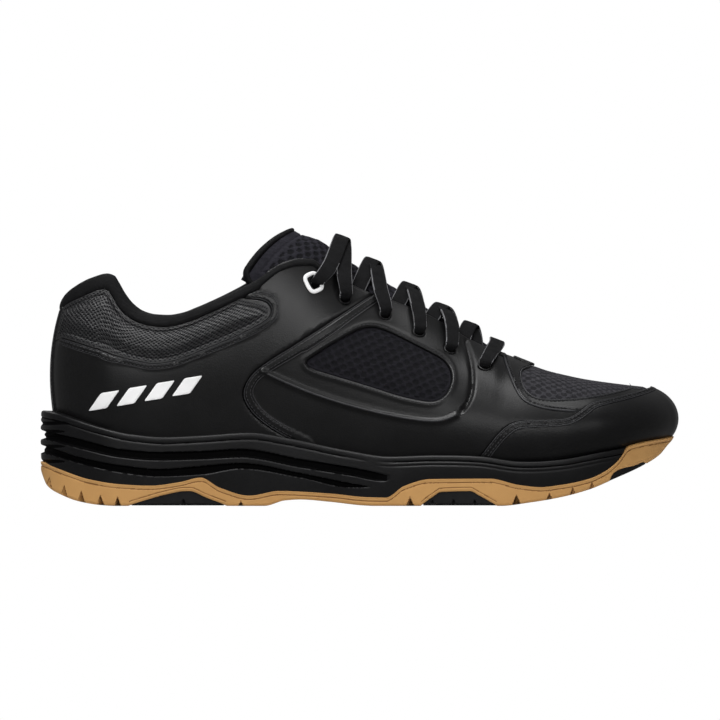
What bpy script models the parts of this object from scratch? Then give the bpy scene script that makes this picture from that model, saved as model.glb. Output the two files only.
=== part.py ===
"""Indoor court shoe, right foot, toe towards +X and lateral side towards -Y.

Shapes are laid out in millimetres and built in metres, standing on z = 0.
"""
import math

import bpy
import bmesh
import numpy as np
from mathutils import Vector
from mathutils.geometry import delaunay_2d_cdt

MM = 0.001

# Driving dimensions, millimetres.
GAP = 0.3
PANEL = 1.3
LINING = 0.9
COLLAR_PAD = 5.0
FLEX_X = 65.8
FLEX_Z = 24.0
TONGUE_X = 70.0
TONGUE_Z = 61.0
EYELET_R = 3.3
LACE_WIDTH = 6.4
LACE_THICK = 1.4
LACE_BUNCH = 3.6
GUM_WALL = 2.4
GRID_S = 26
GRID_V = 6

for old in list(bpy.data.objects):
    bpy.data.objects.remove(old, do_unlink=True)


def smooth(points, flat_start=False, flat_end=False):
    """Monotone cubic curve through (t, value) points, held beyond its ends."""
    t = np.array([p[0] for p in points], float)
    y = np.array([p[1] for p in points], float)
    h = np.diff(t)
    d = np.diff(y) / h
    m = np.zeros(len(t))
    m[0] = 0.0 if flat_start else d[0]
    m[-1] = 0.0 if flat_end else d[-1]
    for i in range(1, len(t) - 1):
        if d[i - 1] * d[i] > 0:
            w1 = 2 * h[i] + h[i - 1]
            w2 = h[i] + 2 * h[i - 1]
            m[i] = (w1 + w2) / (w1 / d[i - 1] + w2 / d[i])

    def value(q):
        q = np.clip(np.asarray(q, float), t[0], t[-1])
        i = np.clip(np.searchsorted(t, q, side="right") - 1, 0, len(t) - 2)
        u = (q - t[i]) / h[i]
        a = (1 + 2 * u) * (1 - u) ** 2 * y[i] + u * (1 - u) ** 2 * h[i] * m[i]
        return a + u * u * (3 - 2 * u) * y[i + 1] + u * u * (u - 1) * h[i] * m[i + 1]

    return value


# Plan outline of the sole from the heel centre to the toe centre, (x, y).
LATERAL = [(-150, 0), (-149.2, -8), (-146.5, -15.5), (-140.5, -23.5), (-130, -30.5),
           (-115, -36), (-95, -38), (-75, -37.5), (-50, -37), (-25, -38.5), (0, -42),
           (25, -46.5), (50, -50.5), (75, -52), (95, -50), (110, -45.5), (122, -38.5),
           (131.5, -30), (139, -20), (144, -10), (146.8, -2), (147.5, 5)]
MEDIAL = [(-150, 0), (-149.2, 8), (-146.5, 15), (-140.5, 22.5), (-130, 29.5), (-115, 34.5),
          (-95, 36.5), (-75, 35), (-50, 31.5), (-25, 30.5), (0, 34), (25, 41), (50, 47.5),
          (75, 51.5), (92, 52), (106, 50), (118, 45.5), (128, 39), (136.5, 31), (142.5, 22),
          (146.3, 13), (147.5, 5)]


def along(points):
    p = np.array(points, float)
    step = np.hypot(np.diff(p[:, 0]), np.diff(p[:, 1]))
    s = np.concatenate([[0], np.cumsum(step)])
    s = s / s[-1]
    fx = smooth(list(zip(s, p[:, 0])), True, True)
    fy = smooth(list(zip(s, p[:, 1])))
    return fx, fy


OUTLINE = {-1: along(LATERAL), 1: along(MEDIAL)}

# Heights along the shoe, (x, z).
FEATHER = smooth([(-150, 44), (-143, 42.5), (-134, 39.7), (-122, 36), (-108, 32.9), (-92, 31.5),
                  (-75, 32.2), (-52, 33.6), (-33, 30.8), (-7, 25.4), (14, 22.4), (35, 23),
                  (56, 22.6), (75, 20.8), (94, 22), (112, 25.2), (122, 27.2), (132, 30),
                  (147.5, 33.6)])
GUM_TOP = smooth([(-150, 21), (-141, 17.2), (-127, 12.5), (-113, 10.3), (-99, 9.6), (-84.6, 11.3),
                  (-75, 13.4), (-66, 8.7), (-52, 4.9), (-38, 7.1), (-14, 5.9), (3, 4.2),
                  (12, 4.0), (21, 9.6), (33, 12.7), (61, 12.9), (75, 9.9), (85, 8.9), (94, 9.9),
                  (108, 12.9), (115, 16.2), (121, 20.9), (127, 28.2), (136, 30.6), (147.5, 33.2)])
GUM_BOTTOM = smooth([(-150, 16), (-147, 9.5), (-141, 5.5), (-132, 2.1), (-122, 0.4), (-115, 0),
                     (-45, 0), (-35, 2.6), (-28, 3.0), (-14, 1.9), (2, 0.2), (7, 0), (66, 0),
                     (80, 1.6), (94, 4.0), (108, 7.8), (118, 12), (134, 19.5), (141, 24.2),
                     (145, 29), (147.5, 31.5)])
SLAB_TOP = smooth([(-150, 19), (-140, 12), (-128, 9), (-108, 8.4), (-64, 8.2), (-52, 4.6),
                   (-38, 6.6), (-14, 5.4), (3, 3.7), (12, 3.5), (22, 7), (32, 8.4), (62, 8.4),
                   (75, 6.4), (86, 6.4), (95, 7.6), (108, 11.5), (114, 14.6), (120, 17.5),
                   (125, 20.1), (134, 23), (141, 27.5), (145, 30.2), (147.5, 31)])
DISH = smooth([(-150, 31), (-140, 28), (-120, 25.8), (-92, 24.6), (-60, 24), (-30, 21.4), (0, 18.2),
               (35, 16), (80, 14.8), (105, 16.8), (120, 20.2), (125, 22.4), (134, 25.4),
               (138, 28.2), (141, 29.8), (147.5, 31.6)])
TUCK = smooth([(0, 3), (0.64, 3), (0.74, 0.6), (1, 0.4)])
TOPLINE = smooth([(-138.2, 100.4), (-136.4, 102.7), (-132.6, 105.6), (-127, 108.4),
                  (-120, 110.2), (-115.7, 108.9), (-112.8, 105.1), (-110, 100.4), (-106.3, 95.7),
                  (-101.6, 92.4), (-96.4, 91), (-90.3, 90.7), (-84.6, 91.5), (-77.6, 93.8),
                  (-68.2, 97.6), (-57.8, 102.3), (-49.4, 106.5), (-42.3, 111.2), (-35.3, 115),
                  (-28.2, 116.6), (-22.5, 116.4), (-17.9, 113.6), (-11.8, 109.6), (-4.7, 105.1),
                  (2.4, 101.8), (11.8, 98.3), (18.8, 95.5), (29.6, 91.3), (37.6, 87), (44.7, 82.6),
                  (50.8, 79), (56.4, 76.2), (62, 73.8), (67, 71.8), (70.5, 70.6), (76.6, 68.2),
                  (87, 64.1), (94, 62.2), (103.4, 60), (112.8, 58.5), (122.3, 57.3), (132, 56.3)])

# How far the top edge sits from the middle, and where it lies along the shoe.
TOP_X = smooth([(0, -138.2), (0.026, -137.2), (0.05, -134.6), (0.083, -127.5), (0.13, -115),
                (0.19, -96), (0.25, -76), (0.4, -24.5), (0.55, 27), (0.668, 66), (0.69, 71),
                (0.74, 81), (0.80, 93), (0.86, 103.5), (0.92, 114), (0.96, 122), (1, 130)])
TOP_Y = smooth([(-138.2, 0), (-137.2, 7), (-134.6, 14), (-127.5, 20.5), (-115, 26), (-96, 29.5),
                (-76, 30.5), (-56, 30), (-40, 28), (-24.5, 24.5), (0, 21.5), (27, 18.5),
                (50, 15.5), (60, 13), (66, 8.5), (71, 0), (130, 0)])
ARC_START = smooth([(0, -14), (0.1, -16), (0.6, -18), (0.9, -26), (1, -32)])
ARC_END = smooth([(0, 35), (0.2, 42), (0.4, 56), (0.6, 64), (0.69, 90), (1, 90)])
INSET = smooth([(0, 6.5), (0.1, 6.0), (0.3, 5.0), (0.7, 4.6), (0.85, 3.2), (1, 1.2)])
BULGE = smooth([(0, 1.0), (0.1, 2.4), (0.25, 2.0), (0.42, 1.0), (0.6, 0), (1, 0)])
MIDLINE = smooth([(68, 0), (100, 1.5), (130, 4)])


def outline(s, side):
    fx, fy = OUTLINE[side]
    return np.stack([fx(s), fy(s)], -1)


def inward(s, side):
    e = 1e-4
    d = outline(np.clip(s + e, 0, 1), side) - outline(np.clip(s - e, 0, 1), side)
    n = np.stack([-d[..., 1], d[..., 0]], -1) * -side
    n = n / np.linalg.norm(n, axis=-1, keepdims=True)
    end = np.where(np.asarray(s) < 1e-6, 1, np.where(np.asarray(s) > 1 - 1e-6, -1, 0))[..., None]
    return np.where(end == 0, n, end * np.array([1.0, 0.0]))


def surface(s, v, side):
    """Outer face of the upper: s runs heel to toe, v from the sole to the top edge."""
    s = np.asarray(s, float)
    v = np.asarray(v, float)
    base = outline(s, side) + inward(s, side) * INSET(s)[..., None]
    tx = TOP_X(s)
    top = np.stack([tx, side * TOP_Y(tx) + MIDLINE(tx)], -1)
    a0 = np.radians(ARC_START(s))
    a1 = np.radians(ARC_END(s))
    a = a0 + (a1 - a0) * v
    reach = (np.cos(a0) - np.cos(a)) / (np.cos(a0) - np.cos(a1))
    lift = (np.sin(a) - np.sin(a0)) / (np.sin(a1) - np.sin(a0))
    xy = base + (top - base) * reach[..., None]
    xy = xy - inward(s, side) * (BULGE(s) * np.sin(math.pi * v))[..., None]
    z0 = FEATHER(base[..., 0]) - TUCK(s)
    z = z0 + (TOPLINE(tx) - z0) * lift
    return np.concatenate([xy, z[..., None]], -1)


def normals(s, v, side):
    e = 2e-3
    ds = surface(np.clip(s + e, 0, 1), v, side) - surface(np.clip(s - e, 0, 1), v, side)
    lo = np.clip(v - e, 0, 1)
    hi = np.clip(v + e, 0, 1)
    dv = surface(s, hi, side) - surface(s, lo, side)
    n = np.cross(ds, dv) * -side
    seam = (s < 1e-6) | (s > 1 - 1e-6)
    n[..., 1] = np.where(seam, 0, n[..., 1])
    x = TOP_X(s)
    slope = (TOPLINE(x + 1) - TOPLINE(x - 1)) / 2
    upright = np.stack([-slope, np.zeros_like(slope), np.ones_like(slope)], -1)
    n = np.where(((v > 1 - 1e-6) & (s > 0.688))[..., None], upright, n)
    return n / np.maximum(np.linalg.norm(n, axis=-1, keepdims=True), 1e-9)


class Facets:
    """The surface as flat facets on a regular grid, at any depth below the face."""

    def __init__(self, side):
        self.side = side
        s = np.linspace(0, 1, GRID_S + 1)
        v = np.linspace(0, 1, GRID_V + 1)
        ss, vv = np.meshgrid(s, v, indexing="ij")
        self.p = surface(ss, vv, side)
        self.n = normals(ss, vv, side)
        self.ss = ss
        self.vv = vv

    def at(self, s, v, depth):
        layer = self.p - self.n * depth(self.ss, self.vv)[..., None]
        a = min(max(s * GRID_S, 0), GRID_S - 1e-9)
        b = min(max(v * GRID_V, 0), GRID_V - 1e-9)
        i = int(a)
        j = int(b)
        a -= i
        b -= j
        p00 = layer[i, j]
        p11 = layer[i + 1, j + 1]
        if a >= b:
            mid = layer[i + 1, j]
            return p00 + a * (mid - p00) + b * (p11 - mid)
        mid = layer[i, j + 1]
        return p00 + b * (mid - p00) + a * (p11 - mid)


FACETS = {-1: Facets(-1), 1: Facets(1)}

# Dense table used to place side-view outlines on the surface.
TABLE_S = np.linspace(0, 1, 361)
TABLE_V = np.linspace(0, 1, 81)
TS, TV = np.meshgrid(TABLE_S, TABLE_V, indexing="ij")
TABLE = surface(TS, TV, -1)[..., [0, 2]]


def place(x, z):
    """The (s, v) of a side-view point, by the nearest table cell and a local solve."""
    d = np.hypot(TABLE[..., 0] - x, TABLE[..., 1] - z)
    i, j = np.unravel_index(np.argmin(d), d.shape)
    s = TABLE_S[i]
    v = TABLE_V[j]
    for _ in range(6):
        e = 1e-3
        q = np.array([[s, v], [min(s + e, 1), v], [s, min(v + e, 1)]])
        if s + e > 1:
            q[1, 0] = s - e
        if v + e > 1:
            q[2, 1] = v - e
        f = surface(q[:, 0], q[:, 1], -1)[:, [0, 2]]
        js = (f[1] - f[0]) / (q[1, 0] - s)
        jv = (f[2] - f[0]) / (q[2, 1] - v)
        det = js[0] * jv[1] - js[1] * jv[0]
        if abs(det) < 1e-6:
            break
        r = np.array([x, z]) - f[0]
        s = min(max(s + np.clip((r[0] * jv[1] - r[1] * jv[0]) / det, -0.02, 0.02), 0), 1)
        v = min(max(v + np.clip((js[0] * r[1] - js[1] * r[0]) / det, -0.05, 0.05), 0), 1)
    return s, v


def placed(points):
    return [place(x, z) for x, z in points]


# Side-view outlines, (x, z).
COLLAR_EDGE = [(-136, 96.4), (-129.3, 99.4), (-122.3, 102.3), (-119, 102.3), (-116.6, 99),
               (-113.8, 93.8), (-110, 89.6), (-104.4, 86.3), (-96.4, 84.4), (-89.3, 84.4),
               (-79.9, 86.8), (-68.2, 91.9), (-56.4, 97.6), (-48, 101.8)]
COLLAR_SEAM = [(-140.5, 79), (-127, 74.5), (-112.8, 69.8), (-103.4, 67.5), (-96.4, 66.5),
               (-87, 67.9), (-75.2, 72.6), (-61.1, 78.3), (-49.4, 83.9), (-43.3, 87.7),
               (-41.4, 91), (-42.3, 94.7), (-46.1, 96.9), (-54.1, 97.6)]
SADDLE = [(8, 100.4), (-4.7, 92.4), (-18.8, 83), (-32.9, 74.1), (-42.3, 68.4), (-49.4, 63.2),
          (-53.1, 58.5), (-55, 53.4), (-54.1, 49.1), (-50.8, 44), (-46.1, 39.7), (-40, 35.5),
          (-32.9, 31.7), (-25, 28.2)]
WINDOW = [(-28.2, 66.1), (-18.8, 72.6), (-7.1, 79.7), (0.9, 83.9), (7.1, 84.4), (14.1, 82),
          (23.5, 77.3), (32.9, 72.6), (39, 69.4), (42.3, 65.1), (43.3, 60.4), (41.8, 54.8),
          (39, 51), (34.8, 49.1), (30.6, 49.1), (18.8, 51.5), (4.7, 56.2), (-9.4, 60.4)]
VAMP_SEAM = [(66.8, 72.4), (69.6, 64.2), (72.9, 55.7), (76.2, 50.1), (81.3, 47.3), (89.3, 45.4),
             (101.1, 44.4)]
TOE_SEAM = [(56.4, 22.9), (61.1, 28.9), (65.8, 34.6), (70.5, 38.3), (75.2, 39.7), (84.6, 40),
            (94, 40.2), (98.7, 41.1), (103.4, 44), (108.1, 47.7), (112.8, 49.1), (122.3, 51),
            (131.7, 53.4), (138, 55.6)]
TOE_WINDOW = [(80.5, 66), (76.2, 64.6), (75.2, 61.8), (76.6, 55.7), (79.9, 52), (84.6, 50.1),
              (94, 49.6), (108.1, 50.9), (122.3, 53.8), (127, 55.2)]
EYELETS = [(-20.7, 104.6), (-7.1, 97.6), (11.8, 90), (27.7, 81.8), (42.3, 73.6), (58.5, 65.6)]


def ring(centre, radius, side, count=9):
    s, v = centre
    e = 1e-3
    fs = np.linalg.norm(surface(s + e, v, side) - surface(s - e, v, side)) / (2 * e)
    fv = np.linalg.norm(surface(s, v + e, side) - surface(s, v - e, side)) / (2 * e)
    turns = np.arange(count) * 2 * math.pi / count
    return [(s + radius * math.cos(t) / fs, v + radius * math.sin(t) / fv) for t in turns]


def regions(side):
    """Outlines of the outer panels in (s, v); an earlier one wins where two meet."""
    spots = placed(EYELETS)
    found = [("hole", ring(c, EYELET_R, side)) for c in spots]
    collar = placed(COLLAR_EDGE)
    collar = [(-0.1, collar[0][1])] + collar
    collar = collar + [(collar[-1][0] + 0.01, 1.1), (-0.1, 1.1)]
    found.append(("binding", collar))
    found.append(("back_stay", [(-0.1, -0.1), (0.036, -0.1), (0.036, 1.1), (-0.1, 1.1)]))
    mesh = placed(COLLAR_SEAM)
    mesh = [(-0.1, mesh[0][1])] + mesh + [(mesh[-1][0], 1.1), (-0.1, 1.1)]
    found.append(("collar_mesh", mesh))
    toe = placed(TOE_SEAM)
    toe = [(toe[0][0] - 0.004, -0.1)] + toe + [(toe[-1][0] + 0.01, 1.1), (1.1, 1.1), (1.1, -0.1)]
    found.append(("toe_cap", toe))
    found.append(("window", placed(WINDOW)))
    found.append(("throat", [(0.662, 0.9), (0.69, 0.9), (0.69, 1.1), (0.662, 1.1)]))
    front = placed(TOE_WINDOW)
    front = [(front[0][0] - 0.002, 1.1)] + front + [(1.1, front[-1][1]), (1.1, 1.1)]
    found.append(("vamp_mesh", front))
    vamp = placed(VAMP_SEAM)
    vamp = [(vamp[0][0] - 0.004, 1.1)] + vamp + [(1.1, vamp[-1][1]), (1.1, 1.1)]
    found.append(("vamp_overlay", vamp))
    saddle = placed(SADDLE)
    saddle = [(saddle[0][0] + 0.002, 1.1)] + saddle + [(saddle[-1][0], -0.1), (1.1, -0.1), (1.1, 1.1)]
    found.append(("quarter_front", saddle))
    found.append(("heel_panel", [(-0.1, -0.1), (1.1, -0.1), (1.1, 1.1), (-0.1, 1.1)]))
    return found


def counter_clockwise(shape):
    area = 0
    for (a, b), (c, d) in zip(shape, shape[1:] + shape[:1]):
        area += a * d - b * c
    return shape if area > 0 else shape[::-1]


def grid_lines():
    """Every facet edge of the grid, as points and edges."""
    points = []
    edges = []
    index = {}
    for i in range(GRID_S + 1):
        for j in range(GRID_V + 1):
            index[i, j] = len(points)
            points.append((i / GRID_S, j / GRID_V))
    for i in range(GRID_S + 1):
        for j in range(GRID_V + 1):
            for step in ((1, 0), (0, 1), (1, 1)):
                end = (i + step[0], j + step[1])
                if end in index:
                    edges.append((index[i, j], index[end]))
    return points, edges


def inner_regions(side):
    """Outlines of the hidden layers in (s, v): collar foam, stiffeners and eyelet backing."""
    found = [r for r in regions(side) if r[0] in ("hole", "binding")]
    found.append(("foam", [(-0.1, 0.36), (0.30, 0.36), (0.385, 0.62), (0.385, 1.1), (-0.1, 1.1)]))
    found.append(("counter", [(-0.1, -0.1), (0.22, -0.1), (0.17, 0.36), (-0.1, 0.36)]))
    found.append(("eyestay", [(0.39, 0.74), (0.64, 0.62), (0.665, 0.62), (0.665, 1.1), (0.39, 1.1)]))
    found.append(("puff", [(0.84, -0.1), (1.1, -0.1), (1.1, 0.8), (0.9, 0.55)]))
    return found


def lining_regions(side):
    found = [r for r in regions(side) if r[0] in ("hole", "binding")]
    found.append(("lining", [(-0.1, -0.1), (1.1, -0.1), (1.1, 1.1), (-0.1, 1.1)]))
    return found


def cut_up(shapes):
    """Triangles of the grid cut along the outlines, grouped by outline name."""
    points, edges = grid_lines()
    faces = []
    for _, shape in shapes:
        faces.append(list(range(len(points), len(points) + len(shape))))
        points.extend(counter_clockwise(shape))
    scaled = [Vector((p[0] * 4, p[1])) for p in points]
    out = delaunay_2d_cdt(scaled, edges, faces, 0, 1e-6)
    coords = [(c[0] / 4, c[1]) for c in out[0]]
    groups = {}
    for tri, owners in zip(out[2], out[5]):
        cs = sum(coords[k][0] for k in tri) / 3
        cv = sum(coords[k][1] for k in tri) / 3
        if not owners or not (0 < cs < 1 and 0 < cv < 1):
            continue
        groups.setdefault(shapes[min(owners)][0], []).append(tri)
    return coords, groups


CUT = {side: cut_up(regions(side)) for side in (-1, 1)}
INNER = {side: cut_up(inner_regions(side)) for side in (-1, 1)}
LINED = {side: cut_up(lining_regions(side)) for side in (-1, 1)}


def add_mesh(name, verts, faces, colour, rough=0.6):
    mesh = bpy.data.meshes.new(name)
    mesh.from_pydata([tuple(float(c) * MM for c in v) for v in verts], [], faces)
    bm = bmesh.new()
    bm.from_mesh(mesh)
    bmesh.ops.remove_doubles(bm, verts=bm.verts, dist=1e-6)
    bmesh.ops.dissolve_degenerate(bm, edges=bm.edges, dist=1e-6)
    bmesh.ops.recalc_face_normals(bm, faces=bm.faces)
    bmesh.ops.triangulate(bm, faces=bm.faces)
    if bm.calc_volume(signed=True) < 0:
        bmesh.ops.reverse_faces(bm, faces=bm.faces)
    bm.to_mesh(mesh)
    bm.free()
    material = bpy.data.materials.new(name + "_material")
    material.use_nodes = True
    shader = material.node_tree.nodes["Principled BSDF"]
    shader.inputs["Base Color"].default_value = (*colour, 1)
    shader.inputs["Roughness"].default_value = rough
    mesh.materials.append(material)
    obj = bpy.data.objects.new(name, mesh)
    bpy.context.collection.objects.link(obj)
    return obj


def shell(name, picks, top, bottom, colour, shrink=GAP / 2, rough=0.6, cut=CUT):
    """A closed sheet between two depths over groups of cut triangles.

    picks lists (side, group name); halves that share the heel, toe or ridge line join up.
    """
    keys = {}
    outer = []
    inner = []
    tris = []
    for side, group in picks:
        coords, groups = cut[side]
        for tri in groups.get(group, []):
            face = []
            for k in tri:
                s = min(max(coords[k][0], 0), 1)
                v = min(max(coords[k][1], 0), 1)
                p = FACETS[side].at(s, v, top)
                key = tuple(np.round(p, 3))
                if key not in keys:
                    keys[key] = len(outer)
                    outer.append(p)
                    inner.append(FACETS[side].at(s, v, bottom))
                face.append(keys[key])
            if len(set(face)) == 3:
                tris.append(face if side > 0 else face[::-1])
    return thicken(name, outer, inner, tris, colour, shrink, rough)


def thicken(name, outer, inner, tris, colour, shrink, rough=0.6):
    outer = np.array(outer)
    inner = np.array(inner)
    used = {}
    for t in tris:
        for a, b in zip(t, t[1:] + t[:1]):
            used.setdefault(frozenset((a, b)), []).append((a, b, t))
    rim = [u[0] for u in used.values() if len(u) == 1]
    push = np.zeros_like(outer)
    weight = np.zeros(len(outer))
    for a, b, t in rim:
        c = next(k for k in t if k not in (a, b))
        edge = outer[b] - outer[a]
        edge = edge / np.linalg.norm(edge)
        away = outer[c] - outer[a]
        away = away - edge * away.dot(edge)
        away = away / max(np.linalg.norm(away), 1e-9)
        for k in (a, b):
            push[k] += away
            weight[k] += 1
    for k in np.nonzero(weight)[0]:
        size = np.linalg.norm(push[k])
        if size > 1e-6:
            step = push[k] / size * shrink * min(1.6, weight[k] / size)
            outer[k] += step
            inner[k] += step
    count = len(outer)
    faces = [tuple(t) for t in tris]
    faces += [tuple(k + count for k in t[::-1]) for t in tris]
    faces += [(b, a, a + count, b + count) for a, b, _ in rim]
    return add_mesh(name, np.vstack([outer, inner]), faces, colour, rough)


def flat(value):
    return lambda s, v: np.full(np.shape(s), float(value))


def pad_depth(s, v):
    """Depth of the padding's inner face: full round the collar, none at the sole and toe."""
    around = np.clip((0.40 - s) / 0.10, 0, 1)
    upward = np.clip((v - 0.35) / 0.25, 0, 1)
    return PANEL + GAP + 1.2 + COLLAR_PAD * around * upward


BLACK = (0.012, 0.012, 0.014)
MESH = (0.035, 0.034, 0.042)
GREY = (0.05, 0.05, 0.055)
WHITE = (0.8, 0.8, 0.8)
GUM = (0.55, 0.30, 0.11)
FOAM = (0.25, 0.25, 0.27)
CARD = (0.5, 0.45, 0.36)

zero = flat(0)
skin = flat(PANEL)
both = (-1, 1)


def lining_face(s, v):
    return pad_depth(s, v) + GAP


def lining_back(s, v):
    return pad_depth(s, v) + GAP + LINING


shell("back_stay", [(k, "back_stay") for k in both], zero, skin, BLACK)
shell("vamp_mesh", [(k, "vamp_mesh") for k in both], zero, skin, MESH, rough=0.9)
shell("vamp_overlay", [(k, "vamp_overlay") for k in both] + [(k, "throat") for k in both],
      zero, skin, BLACK)
shell("toe_cap", [(k, "toe_cap") for k in both], zero, skin, BLACK)
for side, word in ((-1, "lateral"), (1, "medial")):
    shell("heel_panel_" + word, [(side, "heel_panel")], zero, skin, BLACK)
    shell("collar_mesh_" + word, [(side, "collar_mesh")], zero, skin, MESH, rough=0.9)
    shell("quarter_panel_" + word, [(side, "quarter_front")], zero, skin, BLACK)
    shell("side_mesh_" + word, [(side, "window")], zero, skin, MESH, rough=0.9)
shell("collar_binding", [(k, "binding") for k in both], zero, lining_back, BLACK)

shell("collar_foam", [(k, "foam") for k in both], flat(PANEL + GAP), pad_depth, FOAM, cut=INNER)
shell("heel_counter", [(k, "counter") for k in both], flat(PANEL + GAP), pad_depth, CARD, cut=INNER)
shell("toe_puff", [(k, "puff") for k in both], flat(PANEL + GAP), pad_depth, CARD, cut=INNER)
shell("eyelet_backing_lateral", [(-1, "eyestay")], flat(PANEL + GAP), pad_depth, CARD, cut=INNER)
shell("eyelet_backing_medial", [(1, "eyestay")], flat(PANEL + GAP), pad_depth, CARD, cut=INNER)
shell("lining", [(k, "lining") for k in both], lining_face, lining_back, GREY, cut=LINED)


# The sole: closed rings of points round the plan outline, joined to a spine along the middle.
SPINE_Y = smooth([(60, 0), (112, 3), (147, 5)])
STEPS = np.linspace(0, 1, GRID_S + 1)


def loop(inset, height):
    """Lateral and medial rows of one ring, set in from the outline by inset."""
    rows = []
    for side in (-1, 1):
        inset_here = inset(STEPS) if callable(inset) else np.full(len(STEPS), float(inset))
        xy = outline(STEPS, side) + inward(STEPS, side) * inset_here[:, None]
        rows.append(np.column_stack([xy, height(xy[:, 0], STEPS)]))
    return rows


def spine(inset, height, reach=108):
    rows = loop(inset, height)
    x = np.clip((rows[0][:, 0] + rows[1][:, 0]) / 2, -112, reach)
    line = np.column_stack([x, SPINE_Y(x), height(x, STEPS)])
    return [line, line]


def ringed(name, rings, colour, rough=0.6):
    verts = []
    faces = []
    for lateral, medial in rings:
        verts.extend(lateral)
        verts.extend(medial)
    n = len(STEPS)
    for r in range(len(rings) - 1):
        for half in (0, 1):
            a = r * 2 * n + half * n
            b = a + 2 * n
            for i in range(n - 1):
                quad = (a + i, a + i + 1, b + i + 1, b + i)
                faces.append(quad if half else quad[::-1])
    return add_mesh(name, verts, faces, colour, rough)


def rim_height(x, s):
    return FEATHER(x) - np.interp(s, [0, 0.64, 0.74, 1], [0, 0, 1.2, 1.2])


def wall_height(x, s):
    """Top of the gum wall, kept just under the toe cap where the two meet."""
    return np.minimum(GUM_TOP(x), FEATHER(x) - np.interp(s, [0, 0.85, 0.95, 1], [0, 0, 0.8, 0.8]))


def slab(x, s):
    return np.minimum(SLAB_TOP(x), wall_height(x, s) - 0.3)


def seat(x, s):
    return slab(x, s) + GAP + np.interp(x, [110, 118, 130, 136], [0, 0.3, 0.3, 0])


def shelf(x, s):
    return np.minimum(wall_height(x, s) + GAP, rim_height(x, s) - 0.4)


def shelf_inset(s):
    band = np.full(np.shape(s), 99.0)
    for side in (-1, 1):
        for near in (-1, 0, 1):
            q = np.clip(s + near / GRID_S, 0, 1)
            x = outline(q, side)[..., 0]
            band = np.minimum(band, rim_height(x, q) - wall_height(x, q))
    return np.interp(band, [1.2, 2.4], [GUM_WALL + GAP, 1.0])


def cup_inset(s):
    return np.maximum(INSET(s) - GAP - 0.9, shelf_inset(s) + 0.9)


def dish(x, s):
    return DISH(x)


def raised(height, by):
    return lambda x, s: height(x, s) + by


def bottom(x, s):
    return GUM_BOTTOM(x)


def bottom_side(x, s):
    return np.minimum(GUM_BOTTOM(x) + 1.6, wall_height(x, s) - 0.5)


outsole = ringed("outsole", [
    spine(0, bottom), loop(12, bottom), loop(1.8, bottom), loop(0, bottom_side),
    loop(0, wall_height), loop(GUM_WALL, wall_height), loop(GUM_WALL, slab), loop(14, slab),
    spine(0, slab)], GUM, 0.7)
midsole = ringed("midsole", [
    spine(0, seat), loop(14, seat), loop(GUM_WALL + GAP, seat), loop(GUM_WALL + GAP, shelf),
    loop(shelf_inset, shelf), loop(lambda s: np.minimum(shelf_inset(s) + 0.5, 2.9), rim_height),
    loop(cup_inset, rim_height), loop(lambda s: cup_inset(s) + 0.5, dish), loop(16, dish),
    spine(0, dish)], BLACK)
board_edge = lambda s: cup_inset(s) + 0.5 + GAP + np.interp(s, [0, 0.85, 1], [0, 0, 3])
def board(x, s):
    return DISH(x) + GAP + np.interp(x, [118, 126, 136], [0, 0.5, 0.6])


ringed("strobel_board", [
    spine(0, board), loop(16, board), loop(board_edge, board),
    loop(board_edge, raised(board, 1.1)), loop(16, raised(board, 1.1)),
    spine(0, raised(board, 1.1))], CARD)
sock_edge = lambda s: INSET(s) + 5.2
ringed("insole", [
    spine(0, raised(dish, 2.4)), loop(16, raised(dish, 2.4)),
    loop(sock_edge, raised(dish, 2.4)), loop(lambda s: INSET(s) + 5.4, raised(dish, 5.8)),
    spine(0, raised(dish, 5.4))], GREY)


def prism(name, profile, width=75, shrink=0.0):
    """A bar across the shoe with the given side-view profile."""
    pts = np.array(profile, float)
    if shrink:
        middle = pts.mean(0)
        size = np.abs(pts - middle).max(0)
        pts = middle + (pts - middle) * (1 - shrink / size)
    n = len(pts)
    verts = [(x, -width, z) for x, z in pts] + [(x, width, z) for x, z in pts]
    faces = [tuple(range(n)), tuple(range(2 * n - 1, n - 1, -1))]
    faces += [(i + n, (i + 1) % n + n, (i + 1) % n, i) for i in range(n)]
    return add_mesh(name, verts, faces, BLACK)


def boolean(target, cutter, operation):
    modifier = target.modifiers.new("cut", "BOOLEAN")
    modifier.object = cutter
    modifier.operation = operation
    modifier.solver = "EXACT"
    depsgraph = bpy.context.evaluated_depsgraph_get()
    mesh = bpy.data.meshes.new_from_object(target.evaluated_get(depsgraph))
    target.modifiers.clear()
    old = target.data
    target.data = mesh
    bpy.data.meshes.remove(old)


def discard(obj):
    bpy.data.objects.remove(obj, do_unlink=True)


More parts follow.
